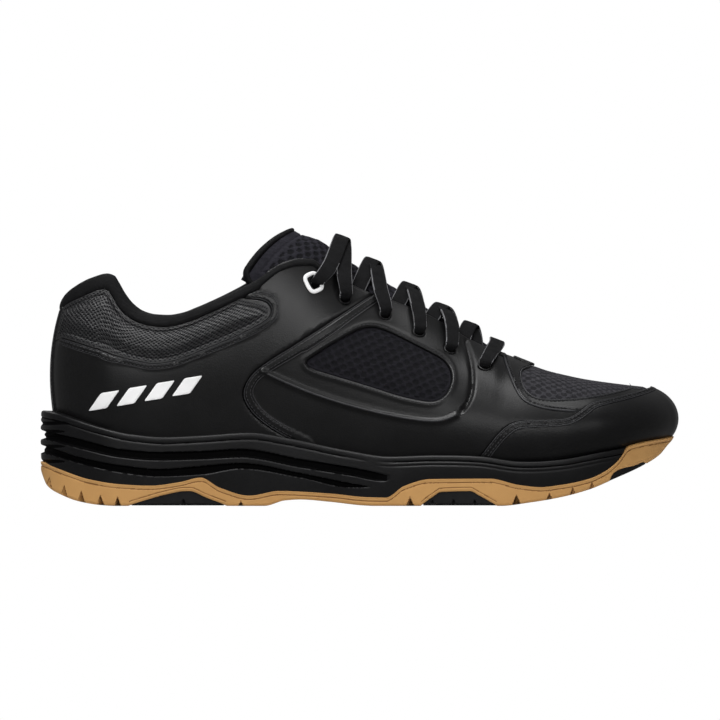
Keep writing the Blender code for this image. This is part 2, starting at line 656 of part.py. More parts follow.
HEEL_ARCH = [(-108.1, 0), (-91.7, 4.9), (-80.9, 6.8), (-72.9, 4.0), (-63.5, 0)]
BALL_ARCH = [(29.2, 0), (35.3, 4.9), (37.6, 6.3), (51.7, 6.8), (56.4, 4.5), (63.9, 0)]
TOE_ARCH = [(114.5, 10.6), (119.9, 15.6), (123.2, 17.9), (129.3, 18.9), (135.8, 20.4)]
for word, arch, floor in (("heel", HEEL_ARCH, -6), ("forefoot", BALL_ARCH, -6), ("toe", TOE_ARCH, 2)):
    arch = [(float(x), float(z)) for x, z in arch]
    notch = [(arch[0][0], floor)] + arch + [(arch[-1][0], floor)]
    insert = ringed("outsole_insert_" + word, [
        spine(0, bottom), loop(2.4, bottom), loop(1.2, lambda x, s: GUM_BOTTOM(x) + 1.0),
        loop(1.2, lambda x, s: GUM_BOTTOM(x) + 12), spine(0, lambda x, s: GUM_BOTTOM(x) + 12)], BLACK)
    smaller = [(arch[0][0] + 1.2, floor)]
    smaller += [(arch[0][0] + 1.2, arch[0][1])]
    smaller += [(x, z - GAP - 0.1) for x, z in arch[1:-1]]
    smaller += [(arch[-1][0] - 1.2, arch[-1][1] - (0.5 if word == "toe" else 0))]
    smaller += [(arch[-1][0] - 1.2, floor)]
    bar = prism("bar", smaller)
    boolean(insert, bar, "INTERSECT")
    discard(bar)
    bar = prism("bar", notch)
    boolean(outsole, bar, "DIFFERENCE")
    discard(bar)


def split(obj, name):
    """Two pieces either side of the flex plane, a gap apart."""
    for suffix, low in (("_heel", True), ("_forefoot", False)):
        bm = bmesh.new()
        bm.from_mesh(obj.data)
        x = (FLEX_X - GAP / 2 if low else FLEX_X + GAP / 2) * MM
        geometry = bm.verts[:] + bm.edges[:] + bm.faces[:]
        done = bmesh.ops.bisect_plane(bm, geom=geometry, dist=1e-7, plane_co=(x, 0, 0),
                                      plane_no=(1, 0, 0), clear_outer=low, clear_inner=not low)
        rim = [e for e in done["geom_cut"] if isinstance(e, bmesh.types.BMEdge)]
        bmesh.ops.triangle_fill(bm, edges=rim, use_beauty=True)
        bmesh.ops.triangulate(bm, faces=bm.faces)
        bmesh.ops.recalc_face_normals(bm, faces=bm.faces)
        mesh = bpy.data.meshes.new(name + suffix)
        bm.to_mesh(mesh)
        bm.free()
        mesh.materials.append(obj.data.materials[0])
        half = bpy.data.objects.new(name + suffix, mesh)
        bpy.context.collection.objects.link(half)
    discard(obj)


split(outsole, "outsole")
split(midsole, "midsole")


# The tongue: t runs from its base under the vamp to its top, u from side to side.
TONGUE_LINE = [(73, 60.5), (66, 67), (57, 74.5), (45, 82), (28.7, 91.5), (15, 100.3), (-1.4, 109.5),
               (-19.7, 122.3), (-28.2, 128), (-33.4, 131.6)]
TONGUE_T = np.concatenate([[0], np.cumsum([math.dist(a, b) for a, b in
                                           zip(TONGUE_LINE, TONGUE_LINE[1:])])])
TONGUE_T = TONGUE_T / TONGUE_T[-1]
LINE_X = smooth([(t, p[0]) for t, p in zip(TONGUE_T, TONGUE_LINE)])
LINE_Z = smooth([(t, p[1]) for t, p in zip(TONGUE_T, TONGUE_LINE)])
TONGUE_HALF = smooth([(0, 13), (0.1, 16), (0.25, 19.5), (0.5, 20.5), (0.75, 19.8), (0.9, 18.6),
                      (1, 17.5)])
TONGUE_SAG = smooth([(0, 28), (0.2, 34), (0.4, 38), (0.7, 41), (0.85, 44), (1, 48)])
TONGUE_TURN = math.radians(76)


def tongue(t, u, depth=0.0):
    """Point on the tongue's outer face, or a depth below it."""
    e = 1e-3
    a = min(max(t - e, 0), 1)
    b = min(max(t + e, 0), 1)
    run = np.array([float(LINE_X(b) - LINE_X(a)), float(LINE_Z(b) - LINE_Z(a))])
    run = run / np.linalg.norm(run)
    up = np.array([run[1] * 1.0, -run[0] * 1.0])
    up = up if up[1] > 0 else -up
    half = float(TONGUE_HALF(t))
    sag = float(TONGUE_SAG(t))
    turn = u * TONGUE_TURN
    y = half * math.sin(turn)
    drop = sag * (1 - math.cos(turn))
    ny = sag * math.sin(turn)
    nu = half * math.cos(turn)
    size = math.hypot(ny, nu)
    ny = ny / size
    nu = nu / size
    lift = -drop - depth * nu
    return np.array([float(LINE_X(t)) + up[0] * lift, y - depth * ny, float(LINE_Z(t)) + up[1] * lift])


def tongue_layer(name, t0, t1, u1, top, deep, colour, rows=8, cols=8):
    """A closed slab of the tongue between two depths; deep may vary with t."""
    outer = []
    inner = []
    tris = []
    for i in range(rows + 1):
        t = t0 + (t1 - t0) * i / rows
        for j in range(cols + 1):
            u = -u1 + 2 * u1 * j / cols
            outer.append(tongue(t, u, top(t) if callable(top) else top))
            inner.append(tongue(t, u, deep(t) if callable(deep) else deep))
    for i in range(rows):
        for j in range(cols):
            a = i * (cols + 1) + j
            b = a + cols + 1
            tris.append([a, a + 1, b + 1])
            tris.append([a, b + 1, b])
    return thicken(name, outer, inner, tris, colour, 0.0)


def tongue_depth(t):
    return float(np.interp(t, [0, 0.15, 0.6, 1], [2.6, 3.6, 5.2, 5.6]))


tongue_layer("tongue_face", 0, 0.965, 0.93, 0, 0.9, MESH)
tongue_layer("tongue_foam", 0, 0.965, 0.93, 0.9 + GAP, tongue_depth, FOAM)
tongue_layer("tongue_lining", 0, 0.965, 0.93, lambda t: tongue_depth(t) + GAP,
             lambda t: tongue_depth(t) + GAP + 0.8, GREY)


def tongue_edging():
    """The folded binding round the tongue's two sides and top, one U-shaped strip."""
    path = [(t, -1) for t in np.linspace(0.30, 0.99, 10)]
    path += [(1.0, u) for u in np.linspace(-0.9, 0.9, 9)]
    path += [(t, 1) for t in np.linspace(0.99, 0.30, 10)]
    rows = []
    for t, u in path:
        deep = tongue_depth(t) + GAP + 0.8
        if abs(u) == 1:
            near = (t, u * 0.945)
            far = (t, u * 1.0)
        else:
            near = (0.972, u)
            far = (1.0, u)
        if t > 0.96 and abs(u) == 1:
            near = (0.972, u * 0.945)
            far = (1.0 if t > 0.985 else t, u)
        rows.append([tongue(*near, 0.0), tongue(*far, 0.6), tongue(*far, deep - 0.6),
                     tongue(*near, deep)])
    verts = [p for row in rows for p in row]
    faces = [(0, 1, 2, 3)]
    for i in range(len(rows) - 1):
        for k in range(4):
            a = i * 4 + k
            b = i * 4 + (k + 1) % 4
            faces.append((a, a + 4, b + 4, b))
    last = len(verts) - 4
    faces.append((last + 3, last + 2, last + 1, last))
    return add_mesh("tongue_binding", verts, faces, BLACK)


tongue_edging()


# The lace: one flat cord through six pairs of eyelets, its two ends tucked inside.
SPOTS = placed(EYELETS)
OVER = 2.5
UNDER = PANEL + GAP + 1.2 + GAP + LINING + GAP + 1.3


def upper_point(sv, side, height):
    s = np.array([sv[0]])
    v = np.array([sv[1]])
    return (surface(s, v, side) + normals(s, v, side) * height)[0]


def unit(v):
    return v / max(np.linalg.norm(v), 1e-9)


def strand(k, side, rise):
    """Control rows from eyelet k on one side across to eyelet k - 1 on the other.

    Each row is a point, a width direction and a width. The lowest strand starts inside
    the shoe, the top one ends outside it, and every other one goes from over to under.
    """
    sv = SPOTS[k]
    to = SPOTS[k - 1]
    a = upper_point(sv, side, 0)
    na = unit(upper_point(sv, side, 1) - a)
    b = upper_point(to, -side, 0)
    nb = unit(upper_point(to, -side, 1) - b)
    edge_a = (sv[0] + (to[0] - sv[0]) * 0.25, 1.0)
    edge_b = (to[0] + (sv[0] - to[0]) * 0.25, 1.0)
    begin = -UNDER if k == 5 else OVER
    end = OVER if k == 1 else -UNDER
    ea = upper_point(edge_a, side, begin)
    eb = upper_point(edge_b, -side, end)
    out = unit(ea - a)
    wa = unit(np.cross(na, out))
    home = unit(eb - b)
    wb = unit(np.cross(home, nb))
    middle = (ea + eb) / 2
    t = float(np.interp(-middle[0], [-x for x in LINE_XS], TS_LINE))
    crown = tongue(t, 0, -rise)
    middle = np.array([middle[0], 0.0, max(middle[2] + 0.5, crown[2])])
    across = unit(np.cross(np.array([0.35, 0, 0.94]), unit(eb - ea)))
    rows = []
    rows.append((a - na * 1.6, wa, LACE_BUNCH))
    rows.append((a + na * begin + out * 1.6, wa, LACE_WIDTH - 1))
    rows.append((ea, unit(wa + across), LACE_WIDTH))
    rows.append((middle, across, LACE_WIDTH))
    rows.append((eb, unit(wb + across), LACE_WIDTH))
    rows.append((b + nb * end + home * 1.6, wb, LACE_WIDTH - 1))
    return rows


LINE_XS = [float(LINE_X(t)) for t in np.linspace(0, 1, 60)]
TS_LINE = list(np.linspace(0, 1, 60))


def inside_end(side):
    """Rows of a tucked end, from eyelet 0 down along the inside of the lining."""
    a = upper_point(SPOTS[0], side, 0)
    na = unit(upper_point(SPOTS[0], side, 1) - a)
    down = unit(upper_point((SPOTS[0][0], SPOTS[0][1] - 0.1), side, 0) - a)
    w = unit(np.cross(na, down))
    rows = [(a - na * 1.6, w, LACE_BUNCH), (a - na * (UNDER + 0.8) + down * 2.4, w, LACE_WIDTH - 1)]
    for x, z, extra in ((-24, 92, 1.3), (-29, 80, 1.1), (-34, 68, 1.3), (-38, 58, 1.8)):
        sv = place(x, z)
        depth = float(lining_back(np.array(sv[0]), np.array(sv[1]))) + GAP + 0.8 + extra
        p = upper_point(sv, side, -depth)
        n = unit(upper_point(sv, side, 1) - upper_point(sv, side, 0))
        rows.append((p, unit(np.cross(n, unit(p - rows[-1][0]))), LACE_WIDTH - 0.6))
    return rows


def bar_rows():
    """The straight bar between the lowest eyelets, entering both from outside."""
    ends = []
    for side in (1, -1):
        a = upper_point(SPOTS[5], side, 0)
        n = unit(upper_point(SPOTS[5], side, 1) - a)
        edge = upper_point((SPOTS[5][0] + 0.004, 0.98), side, OVER)
        out = unit(edge - a)
        w = unit(np.cross(n, out)) * side
        ends.append([(a + n * OVER + out * 1.6, w, LACE_WIDTH - 1), (edge, w, LACE_WIDTH)])
    top = (ends[0][1][0] + ends[1][1][0]) / 2 + np.array([0.4, 0, 2.2])
    across = unit(ends[0][1][1] + ends[1][1][1])
    return ends[0] + [(top, across, LACE_WIDTH)] + ends[1][::-1]


def lace_rows():
    """The whole lace in order, from the lateral end to the medial end."""
    low = 2.7
    high = low + LACE_THICK + 0.7
    rows = inside_end(-1)[::-1]
    side = 1
    for k in (1, 2, 3, 4, 5):
        rows += strand(k, side, high if side > 0 else low)[::-1]
        side = -side
    rows += bar_rows()
    side = -1
    for k in (5, 4, 3, 2, 1):
        rows += strand(k, side, high if side > 0 else low)
        side = -side
    rows += inside_end(1)
    return rows


def swept(name, rows, thickness, colour, steps=3):
    """A flat cord through the rows, its width kept square to the path."""
    p = np.array([r[0] for r in rows])
    w = np.array([r[1] for r in rows])
    for i in range(1, len(w)):
        if w[i].dot(w[i - 1]) < 0:
            w[i] = -w[i]
    size = np.array([r[2] for r in rows], float)
    knots = np.concatenate([[0], np.cumsum(np.sqrt(np.linalg.norm(np.diff(p, axis=0), axis=1)))])
    points = []
    widths = []
    sizes = []
    for i in range(len(p) - 1):
        here = knots[i + 1] - knots[i]
        m0 = (p[i + 1] - p[max(i - 1, 0)]) / (knots[i + 1] - knots[max(i - 1, 0)]) * here
        j = min(i + 2, len(p) - 1)
        m1 = (p[j] - p[i]) / (knots[j] - knots[i]) * here
        for q in range(steps if i < len(p) - 2 else steps + 1):
            u = q / steps
            h = (2 * u ** 3 - 3 * u ** 2 + 1, u ** 3 - 2 * u ** 2 + u,
                 -2 * u ** 3 + 3 * u ** 2, u ** 3 - u ** 2)
            points.append(h[0] * p[i] + h[1] * m0 + h[2] * p[i + 1] + h[3] * m1)
            widths.append(w[i] * (1 - u) + w[i + 1] * u)
            sizes.append(size[i] * (1 - u) + size[i + 1] * u)
    points = np.array(points)
    verts = []
    for i, point in enumerate(points):
        run = unit(points[min(i + 1, len(points) - 1)] - points[max(i - 1, 0)])
        side = widths[i] - run * run.dot(widths[i])
        side = unit(side)
        up = np.cross(run, side)
        a = side * sizes[i] / 2
        b = up * thickness / 2
        verts += [point - a - b, point + a - b, point + a + b, point - a + b]
    faces = [(0, 1, 2, 3)]
    for i in range(len(points) - 1):
        for k in range(4):
            a = i * 4 + k
            b = i * 4 + (k + 1) % 4
            faces.append((a, a + 4, b + 4, b))
    last = len(verts) - 4
    faces.append((last + 3, last + 2, last + 1, last))
    return add_mesh(name, verts, faces, colour, 0.85), points


LACE = lace_rows()
swept("lace", LACE, LACE_THICK, BLACK)


def tube(name, centre, axis, length, r_out, r_in, colour, count=14):
    """A ring or a solid pin about an axis, starting at centre."""
    axis = unit(axis)
    x = unit(np.cross(axis, np.array([0.3, 0.8, 0.52])))
    y = np.cross(axis, x)
    verts = []
    for radius in (r_out, r_in) if r_in else (r_out,):
        for h in (0, length):
            for i in range(count):
                a = i * 2 * math.pi / count
                verts.append(centre + axis * h + (x * math.cos(a) + y * math.sin(a)) * radius)
    faces = []
    for i in range(count):
        j = (i + 1) % count
        faces.append((i, j, j + count, i + count))
        if r_in:
            o = 2 * count
            faces.append((o + j, o + i, o + i + count, o + j + count))
            faces.append((i, o + i, o + j, j))
            faces.append((i + count, j + count, o + j + count, o + i + count))
    if not r_in:
        faces.append(tuple(range(count))[::-1])
        faces.append(tuple(range(count, 2 * count)))
    return add_mesh(name, verts, faces, colour, 0.4)


for side, word, end, before in ((-1, "lateral", LACE[0][0], LACE[1][0]),
                                (1, "medial", LACE[-1][0], LACE[-2][0])):
    tube("aglet_" + word, end + unit(end - before) * 0.4, end - before, 16, 1.2, 0, WHITE, 10)
    spot = upper_point(SPOTS[0], side, 0)
    axis = unit(upper_point(SPOTS[0], side, 1) - spot)
    tube("top_eyelet_ring_" + word, spot + axis * 0.3, axis, 0.5, 4.4, 3.1, WHITE)
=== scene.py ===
"""Looks of the court shoe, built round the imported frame. Lengths here are millimetres until meshed."""
import math

import bpy
import bmesh
import numpy as np
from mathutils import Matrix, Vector
from mathutils.geometry import delaunay_2d_cdt
from mathutils.kdtree import KDTree


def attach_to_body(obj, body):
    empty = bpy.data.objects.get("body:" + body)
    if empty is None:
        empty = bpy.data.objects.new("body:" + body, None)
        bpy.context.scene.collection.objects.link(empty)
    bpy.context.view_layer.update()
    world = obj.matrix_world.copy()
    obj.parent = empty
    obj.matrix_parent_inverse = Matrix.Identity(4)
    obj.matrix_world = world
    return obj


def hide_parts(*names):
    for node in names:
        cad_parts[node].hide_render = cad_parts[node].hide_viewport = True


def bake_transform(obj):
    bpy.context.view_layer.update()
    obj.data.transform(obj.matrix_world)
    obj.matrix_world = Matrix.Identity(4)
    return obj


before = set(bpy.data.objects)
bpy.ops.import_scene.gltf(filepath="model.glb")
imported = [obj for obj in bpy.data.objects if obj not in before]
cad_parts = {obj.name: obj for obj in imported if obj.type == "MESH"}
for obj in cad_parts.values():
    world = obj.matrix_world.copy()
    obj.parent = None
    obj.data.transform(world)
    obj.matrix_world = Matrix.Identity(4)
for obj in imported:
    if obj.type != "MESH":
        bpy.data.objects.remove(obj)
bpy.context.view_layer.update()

MM = 0.001
# Thicknesses and widths of the CAD layers that the looks are set out from.
PANEL = 1.3
GAP = 0.3
LINING = 0.9
COLLAR_PAD = 5.0
LACE_WIDTH = 6.4
LACE_BUNCH = 3.6
BOTH = (-1, 1)


def clamp(q):
    return np.clip(q, 0, 1)


def bell(d, width):
    """1 where d is 0, falling smoothly to nothing a few widths away."""
    return np.exp(-(d / width) ** 2)


def shares(count):
    return np.linspace(0, 1, count)


def units(v):
    return v / np.maximum(np.linalg.norm(v, axis=-1, keepdims=True), 1e-9)


def smooth(points, flat_start=False, flat_end=False):
    """Monotone cubic curve through (t, value) points, held beyond its ends."""
    t = np.array([p[0] for p in points], float)
    y = np.array([p[1] for p in points], float)
    h = np.diff(t)
    d = np.diff(y) / h
    m = np.zeros(len(t))
    m[0] = 0.0 if flat_start else d[0]
    m[-1] = 0.0 if flat_end else d[-1]
    for i in range(1, len(t) - 1):
        if d[i - 1] * d[i] > 0:
            w1 = 2 * h[i] + h[i - 1]
            w2 = h[i] + 2 * h[i - 1]
            m[i] = (w1 + w2) / (w1 / d[i - 1] + w2 / d[i])

    def value(q):
        q = np.clip(np.asarray(q, float), t[0], t[-1])
        i = np.clip(np.searchsorted(t, q, side="right") - 1, 0, len(t) - 2)
        u = (q - t[i]) / h[i]
        a = (1 + 2 * u) * (1 - u) ** 2 * y[i] + u * (1 - u) ** 2 * h[i] * m[i]
        return a + u * u * (3 - 2 * u) * y[i + 1] + u * u * (u - 1) * h[i] * m[i + 1]

    return value


# Plan outline of the sole from the heel centre to the toe centre, (x, y).
LATERAL = [(-150, 0), (-149.2, -8), (-146.5, -15.5), (-140.5, -23.5), (-130, -30.5),
           (-115, -36), (-95, -38), (-75, -37.5), (-50, -37), (-25, -38.5), (0, -42),
           (25, -46.5), (50, -50.5), (75, -52), (95, -50), (110, -45.5), (122, -38.5),
           (131.5, -30), (139, -20), (144, -10), (146.8, -2), (147.5, 5)]
MEDIAL = [(-150, 0), (-149.2, 8), (-146.5, 15), (-140.5, 22.5), (-130, 29.5), (-115, 34.5),
          (-95, 36.5), (-75, 35), (-50, 31.5), (-25, 30.5), (0, 34), (25, 41), (50, 47.5),
          (75, 51.5), (92, 52), (106, 50), (118, 45.5), (128, 39), (136.5, 31), (142.5, 22),
          (146.3, 13), (147.5, 5)]


def along(points):
    p = np.array(points, float)
    step = np.hypot(np.diff(p[:, 0]), np.diff(p[:, 1]))
    s = np.concatenate([[0], np.cumsum(step)])
    s = s / s[-1]
    fx = smooth(list(zip(s, p[:, 0])), True, True)
    fy = smooth(list(zip(s, p[:, 1])))
    return fx, fy


OUTLINE = {-1: along(LATERAL), 1: along(MEDIAL)}

# Heights along the shoe, (x, z).
FEATHER = smooth([(-150, 44), (-143, 42.5), (-134, 39.7), (-122, 36), (-108, 32.9), (-92, 31.5),
                  (-75, 32.2), (-52, 33.6), (-33, 30.8), (-7, 25.4), (14, 22.4), (35, 23),
                  (56, 22.6), (75, 20.8), (94, 22), (112, 25.2), (122, 27.2), (132, 30),
                  (147.5, 33.6)])
GUM_TOP = smooth([(-150, 21), (-141, 17.2), (-127, 12.5), (-113, 10.3), (-99, 9.6), (-84.6, 11.3),
                  (-75, 13.4), (-66, 8.7), (-52, 4.9), (-38, 7.1), (-14, 5.9), (3, 4.2),
                  (12, 4.0), (21, 9.6), (33, 12.7), (61, 12.9), (75, 9.9), (85, 8.9), (94, 9.9),
                  (108, 12.9), (115, 16.2), (121, 20.9), (127, 28.2), (136, 30.6), (147.5, 33.2)])
GUM_BOTTOM = smooth([(-150, 16), (-147, 9.5), (-141, 5.5), (-132, 2.1), (-122, 0.4), (-115, 0),
                     (-45, 0), (-35, 2.6), (-28, 3.0), (-14, 1.9), (2, 0.2), (7, 0), (66, 0),
                     (80, 1.6), (94, 4.0), (108, 7.8), (118, 12), (134, 19.5), (141, 24.2),
                     (145, 29), (147.5, 31.5)])
DISH = smooth([(-150, 31), (-140, 28), (-120, 25.8), (-92, 24.6), (-60, 24), (-30, 21.4), (0, 18.2),
               (35, 16), (80, 14.8), (105, 16.8), (120, 20.2), (125, 22.4), (134, 25.4),
               (138, 28.2), (141, 29.8), (147.5, 31.6)])
TUCK = smooth([(0, 3), (0.64, 3), (0.74, 0.6), (1, 0.4)])
TOPLINE = smooth([(-138.2, 100.4), (-136.4, 102.7), (-132.6, 105.6), (-127, 108.4),
                  (-120, 110.2), (-115.7, 108.9), (-112.8, 105.1), (-110, 100.4), (-106.3, 95.7),
                  (-101.6, 92.4), (-96.4, 91), (-90.3, 90.7), (-84.6, 91.5), (-77.6, 93.8),
                  (-68.2, 97.6), (-57.8, 102.3), (-49.4, 106.5), (-42.3, 111.2), (-35.3, 115),
                  (-28.2, 116.6), (-22.5, 116.4), (-17.9, 113.6), (-11.8, 109.6), (-4.7, 105.1),
                  (2.4, 101.8), (11.8, 98.3), (18.8, 95.5), (29.6, 91.3), (37.6, 87), (44.7, 82.6),
                  (50.8, 79), (56.4, 76.2), (62, 73.8), (67, 71.8), (70.5, 70.6), (76.6, 68.2),
                  (87, 64.1), (94, 62.2), (103.4, 60), (112.8, 58.5), (122.3, 57.3), (132, 56.3)])

# How far the top edge sits from the middle, and where it lies along the shoe.
TOP_X = smooth([(0, -138.2), (0.026, -137.2), (0.05, -134.6), (0.083, -127.5), (0.13, -115),
                (0.19, -96), (0.25, -76), (0.4, -24.5), (0.55, 27), (0.668, 66), (0.69, 71),
                (0.74, 81), (0.80, 93), (0.86, 103.5), (0.92, 114), (0.96, 122), (1, 130)])
TOP_Y = smooth([(-138.2, 0), (-137.2, 7), (-134.6, 14), (-127.5, 20.5), (-115, 26), (-96, 29.5),
                (-76, 30.5), (-56, 30), (-40, 28), (-24.5, 24.5), (0, 21.5), (27, 18.5),
                (50, 15.5), (60, 13), (66, 8.5), (71, 0), (130, 0)])
ARC_START = smooth([(0, -14), (0.1, -16), (0.6, -18), (0.9, -26), (1, -32)])
ARC_END = smooth([(0, 35), (0.2, 42), (0.4, 56), (0.6, 64), (0.69, 90), (1, 90)])
INSET = smooth([(0, 6.5), (0.1, 6.0), (0.3, 5.0), (0.7, 4.6), (0.85, 3.2), (1, 1.2)])
BULGE = smooth([(0, 1.0), (0.1, 2.4), (0.25, 2.0), (0.42, 1.0), (0.6, 0), (1, 0)])
MIDLINE = smooth([(68, 0), (100, 1.5), (130, 4)])


def outline(s, side):
    fx, fy = OUTLINE[side]
    return np.stack([fx(s), fy(s)], -1)


def inward(s, side):
    e = 1e-4
    d = outline(clamp(s + e), side) - outline(clamp(s - e), side)
    n = np.stack([-d[..., 1], d[..., 0]], -1) * -side
    n = n / np.linalg.norm(n, axis=-1, keepdims=True)
    end = np.where(np.asarray(s) < 1e-6, 1, np.where(np.asarray(s) > 1 - 1e-6, -1, 0))[..., None]
    return np.where(end == 0, n, end * np.array([1.0, 0.0]))


def surface(s, v, side):
    """Outer face of the upper: s runs heel to toe, v from the sole to the top edge."""
    s = np.asarray(s, float)
    v = np.asarray(v, float)
    base = outline(s, side) + inward(s, side) * INSET(s)[..., None]
    tx = TOP_X(s)
    top = np.stack([tx, side * TOP_Y(tx) + MIDLINE(tx)], -1)
    a0 = np.radians(ARC_START(s))
    a1 = np.radians(ARC_END(s))
    a = a0 + (a1 - a0) * v
    reach = (np.cos(a0) - np.cos(a)) / (np.cos(a0) - np.cos(a1))
    lift = (np.sin(a) - np.sin(a0)) / (np.sin(a1) - np.sin(a0))
    xy = base + (top - base) * reach[..., None]
    xy = xy - inward(s, side) * (BULGE(s) * np.sin(math.pi * v))[..., None]
    z0 = FEATHER(base[..., 0]) - TUCK(s)
    z = z0 + (TOPLINE(tx) - z0) * lift
    return np.concatenate([xy, z[..., None]], -1)


def normals(s, v, side):
    e = 2e-3
    ds = surface(clamp(s + e), v, side) - surface(clamp(s - e), v, side)
    lo = clamp(v - e)
    hi = clamp(v + e)
    dv = surface(s, hi, side) - surface(s, lo, side)
    n = np.cross(ds, dv) * -side
    seam = (s < 1e-6) | (s > 1 - 1e-6)
    n[..., 1] = np.where(seam, 0, n[..., 1])
    x = TOP_X(s)
    slope = (TOPLINE(x + 1) - TOPLINE(x - 1)) / 2
    upright = np.stack([-slope, np.zeros_like(slope), np.ones_like(slope)], -1)
    n = np.where(((v > 1 - 1e-6) & (s > 0.688))[..., None], upright, n)
    return n / np.maximum(np.linalg.norm(n, axis=-1, keepdims=True), 1e-9)


# Dense table used to place side-view outlines on the surface.
TABLE_S = np.linspace(0, 1, 361)
TABLE_V = np.linspace(0, 1, 81)
TS, TV = np.meshgrid(TABLE_S, TABLE_V, indexing="ij")
TABLE = surface(TS, TV, -1)[..., [0, 2]]


def place(x, z):
    """The (s, v) of a side-view point, by the nearest table cell and a local solve."""
    d = np.hypot(TABLE[..., 0] - x, TABLE[..., 1] - z)
    i, j = np.unravel_index(np.argmin(d), d.shape)
    s = TABLE_S[i]
    v = TABLE_V[j]
    for _ in range(6):
        e = 1e-3
        q = np.array([[s, v], [min(s + e, 1), v], [s, min(v + e, 1)]])
        if s + e > 1:
            q[1, 0] = s - e
        if v + e > 1:
            q[2, 1] = v - e
        f = surface(q[:, 0], q[:, 1], -1)[:, [0, 2]]
        js = (f[1] - f[0]) / (q[1, 0] - s)
        jv = (f[2] - f[0]) / (q[2, 1] - v)
        det = js[0] * jv[1] - js[1] * jv[0]
        if abs(det) < 1e-6:
            break
        r = np.array([x, z]) - f[0]
        s = min(max(s + np.clip((r[0] * jv[1] - r[1] * jv[0]) / det, -0.02, 0.02), 0), 1)
        v = min(max(v + np.clip((js[0] * r[1] - js[1] * r[0]) / det, -0.05, 0.05), 0), 1)
    return s, v


def placed(points):
    return [place(x, z) for x, z in points]


# Side-view outlines, (x, z).
COLLAR_EDGE = [(-136, 96.4), (-129.3, 99.4), (-122.3, 102.3), (-119, 102.3), (-116.6, 99),
               (-113.8, 93.8), (-110, 89.6), (-104.4, 86.3), (-96.4, 84.4), (-89.3, 84.4),
               (-79.9, 86.8), (-68.2, 91.9), (-56.4, 97.6), (-48, 101.8)]
COLLAR_SEAM = [(-140.5, 79), (-127, 74.5), (-112.8, 69.8), (-103.4, 67.5), (-96.4, 66.5),
               (-87, 67.9), (-75.2, 72.6), (-61.1, 78.3), (-49.4, 83.9), (-43.3, 87.7),
               (-41.4, 91), (-42.3, 94.7), (-46.1, 96.9), (-54.1, 97.6)]
SADDLE = [(8, 100.4), (-4.7, 92.4), (-18.8, 83), (-32.9, 74.1), (-42.3, 68.4), (-49.4, 63.2),
          (-53.1, 58.5), (-55, 53.4), (-54.1, 49.1), (-50.8, 44), (-46.1, 39.7), (-40, 35.5),
          (-32.9, 31.7), (-25, 28.2)]
WINDOW = [(-28.2, 66.1), (-18.8, 72.6), (-7.1, 79.7), (0.9, 83.9), (7.1, 84.4), (14.1, 82),
          (23.5, 77.3), (32.9, 72.6), (39, 69.4), (42.3, 65.1), (43.3, 60.4), (41.8, 54.8),
          (39, 51), (34.8, 49.1), (30.6, 49.1), (18.8, 51.5), (4.7, 56.2), (-9.4, 60.4)]
VAMP_SEAM = [(66.8, 72.4), (69.6, 64.2), (72.9, 55.7), (76.2, 50.1), (81.3, 47.3), (89.3, 45.4),
             (101.1, 44.4)]
TOE_SEAM = [(56.4, 22.9), (61.1, 28.9), (65.8, 34.6), (70.5, 38.3), (75.2, 39.7), (84.6, 40),
            (94, 40.2), (98.7, 41.1), (103.4, 44), (108.1, 47.7), (112.8, 49.1), (122.3, 51),
            (131.7, 53.4), (138, 55.6)]
TOE_WINDOW = [(80.5, 66), (76.2, 64.6), (75.2, 61.8), (76.6, 55.7), (79.9, 52), (84.6, 50.1),
              (94, 49.6), (108.1, 50.9), (122.3, 53.8), (127, 55.2)]
EYELETS = [(-20.7, 104.6), (-7.1, 97.6), (11.8, 90), (27.7, 81.8), (42.3, 73.6), (58.5, 65.6)]


def ring(centre, radius, side, count=9):
    s, v = centre
    e = 1e-3
    fs = np.linalg.norm(surface(s + e, v, side) - surface(s - e, v, side)) / (2 * e)
    fv = np.linalg.norm(surface(s, v + e, side) - surface(s, v - e, side)) / (2 * e)
    turns = np.arange(count) * 2 * math.pi / count
    return [(s + radius * math.cos(t) / fs, v + radius * math.sin(t) / fv) for t in turns]


# ---------------------------------------------------------------- helpers

# Millimetres that s and v stand for when an outline is laid flat.
LONG = 345.0
TALL = 88.0
FLAT = np.array([LONG, TALL])


def at(s, v, side, h=0.0):
    s = clamp(np.asarray(s, float))
    v = clamp(np.asarray(v, float))
    return surface(s, v, side) + normals(s, v, side) * np.asarray(h, float)[..., None]


def near_line(p, line, closed=False):
    """Distance of each 2-D point to a polyline."""
    line = np.asarray(line, float)
    a = line if closed else line[:-1]
    b = np.roll(line, -1, 0) if closed else line[1:]
    best = np.full(len(p), 1e9)
    for start, stop in zip(a, b):
        d = stop - start
        t = clamp(((p - start) @ d) / max(d @ d, 1e-12))
        best = np.minimum(best, np.hypot(*(p - start - t[:, None] * d).T))
    return best


def inside(p, poly):
    poly = np.asarray(poly, float)
    x, y = p[:, 0], p[:, 1]
    hit = np.zeros(len(p), bool)
    for (x0, y0), (x1, y1) in zip(poly, np.roll(poly, -1, 0)):
        if y0 == y1:
            continue
        cross = ((y0 > y) != (y1 > y)) & (x < (x1 - x0) * (y - y0) / (y1 - y0) + x0)
        hit ^= cross
    return hit


def clip_unit(poly):
    """The part of an outline inside the unit square."""
    for axis, limit, keep in ((0, 0, 1), (0, 1, -1), (1, 0, 1), (1, 1, -1)):
        out = []
        for p, q in zip(poly, poly[1:] + poly[:1]):
            dp = (p[axis] - limit) * keep
            dq = (q[axis] - limit) * keep
            if dp >= 0:
                out.append(p)
            if dp * dq < 0:
                t = dp / (dp - dq)
                out.append((p[0] + (q[0] - p[0]) * t, p[1] + (q[1] - p[1]) * t))
        poly = out
    clean = []
    for p in poly:
        if not clean or math.dist(p, clean[-1]) > 1e-6:
            clean.append(p)
    if math.dist(clean[0], clean[-1]) < 1e-6:
        clean.pop()
    return clean


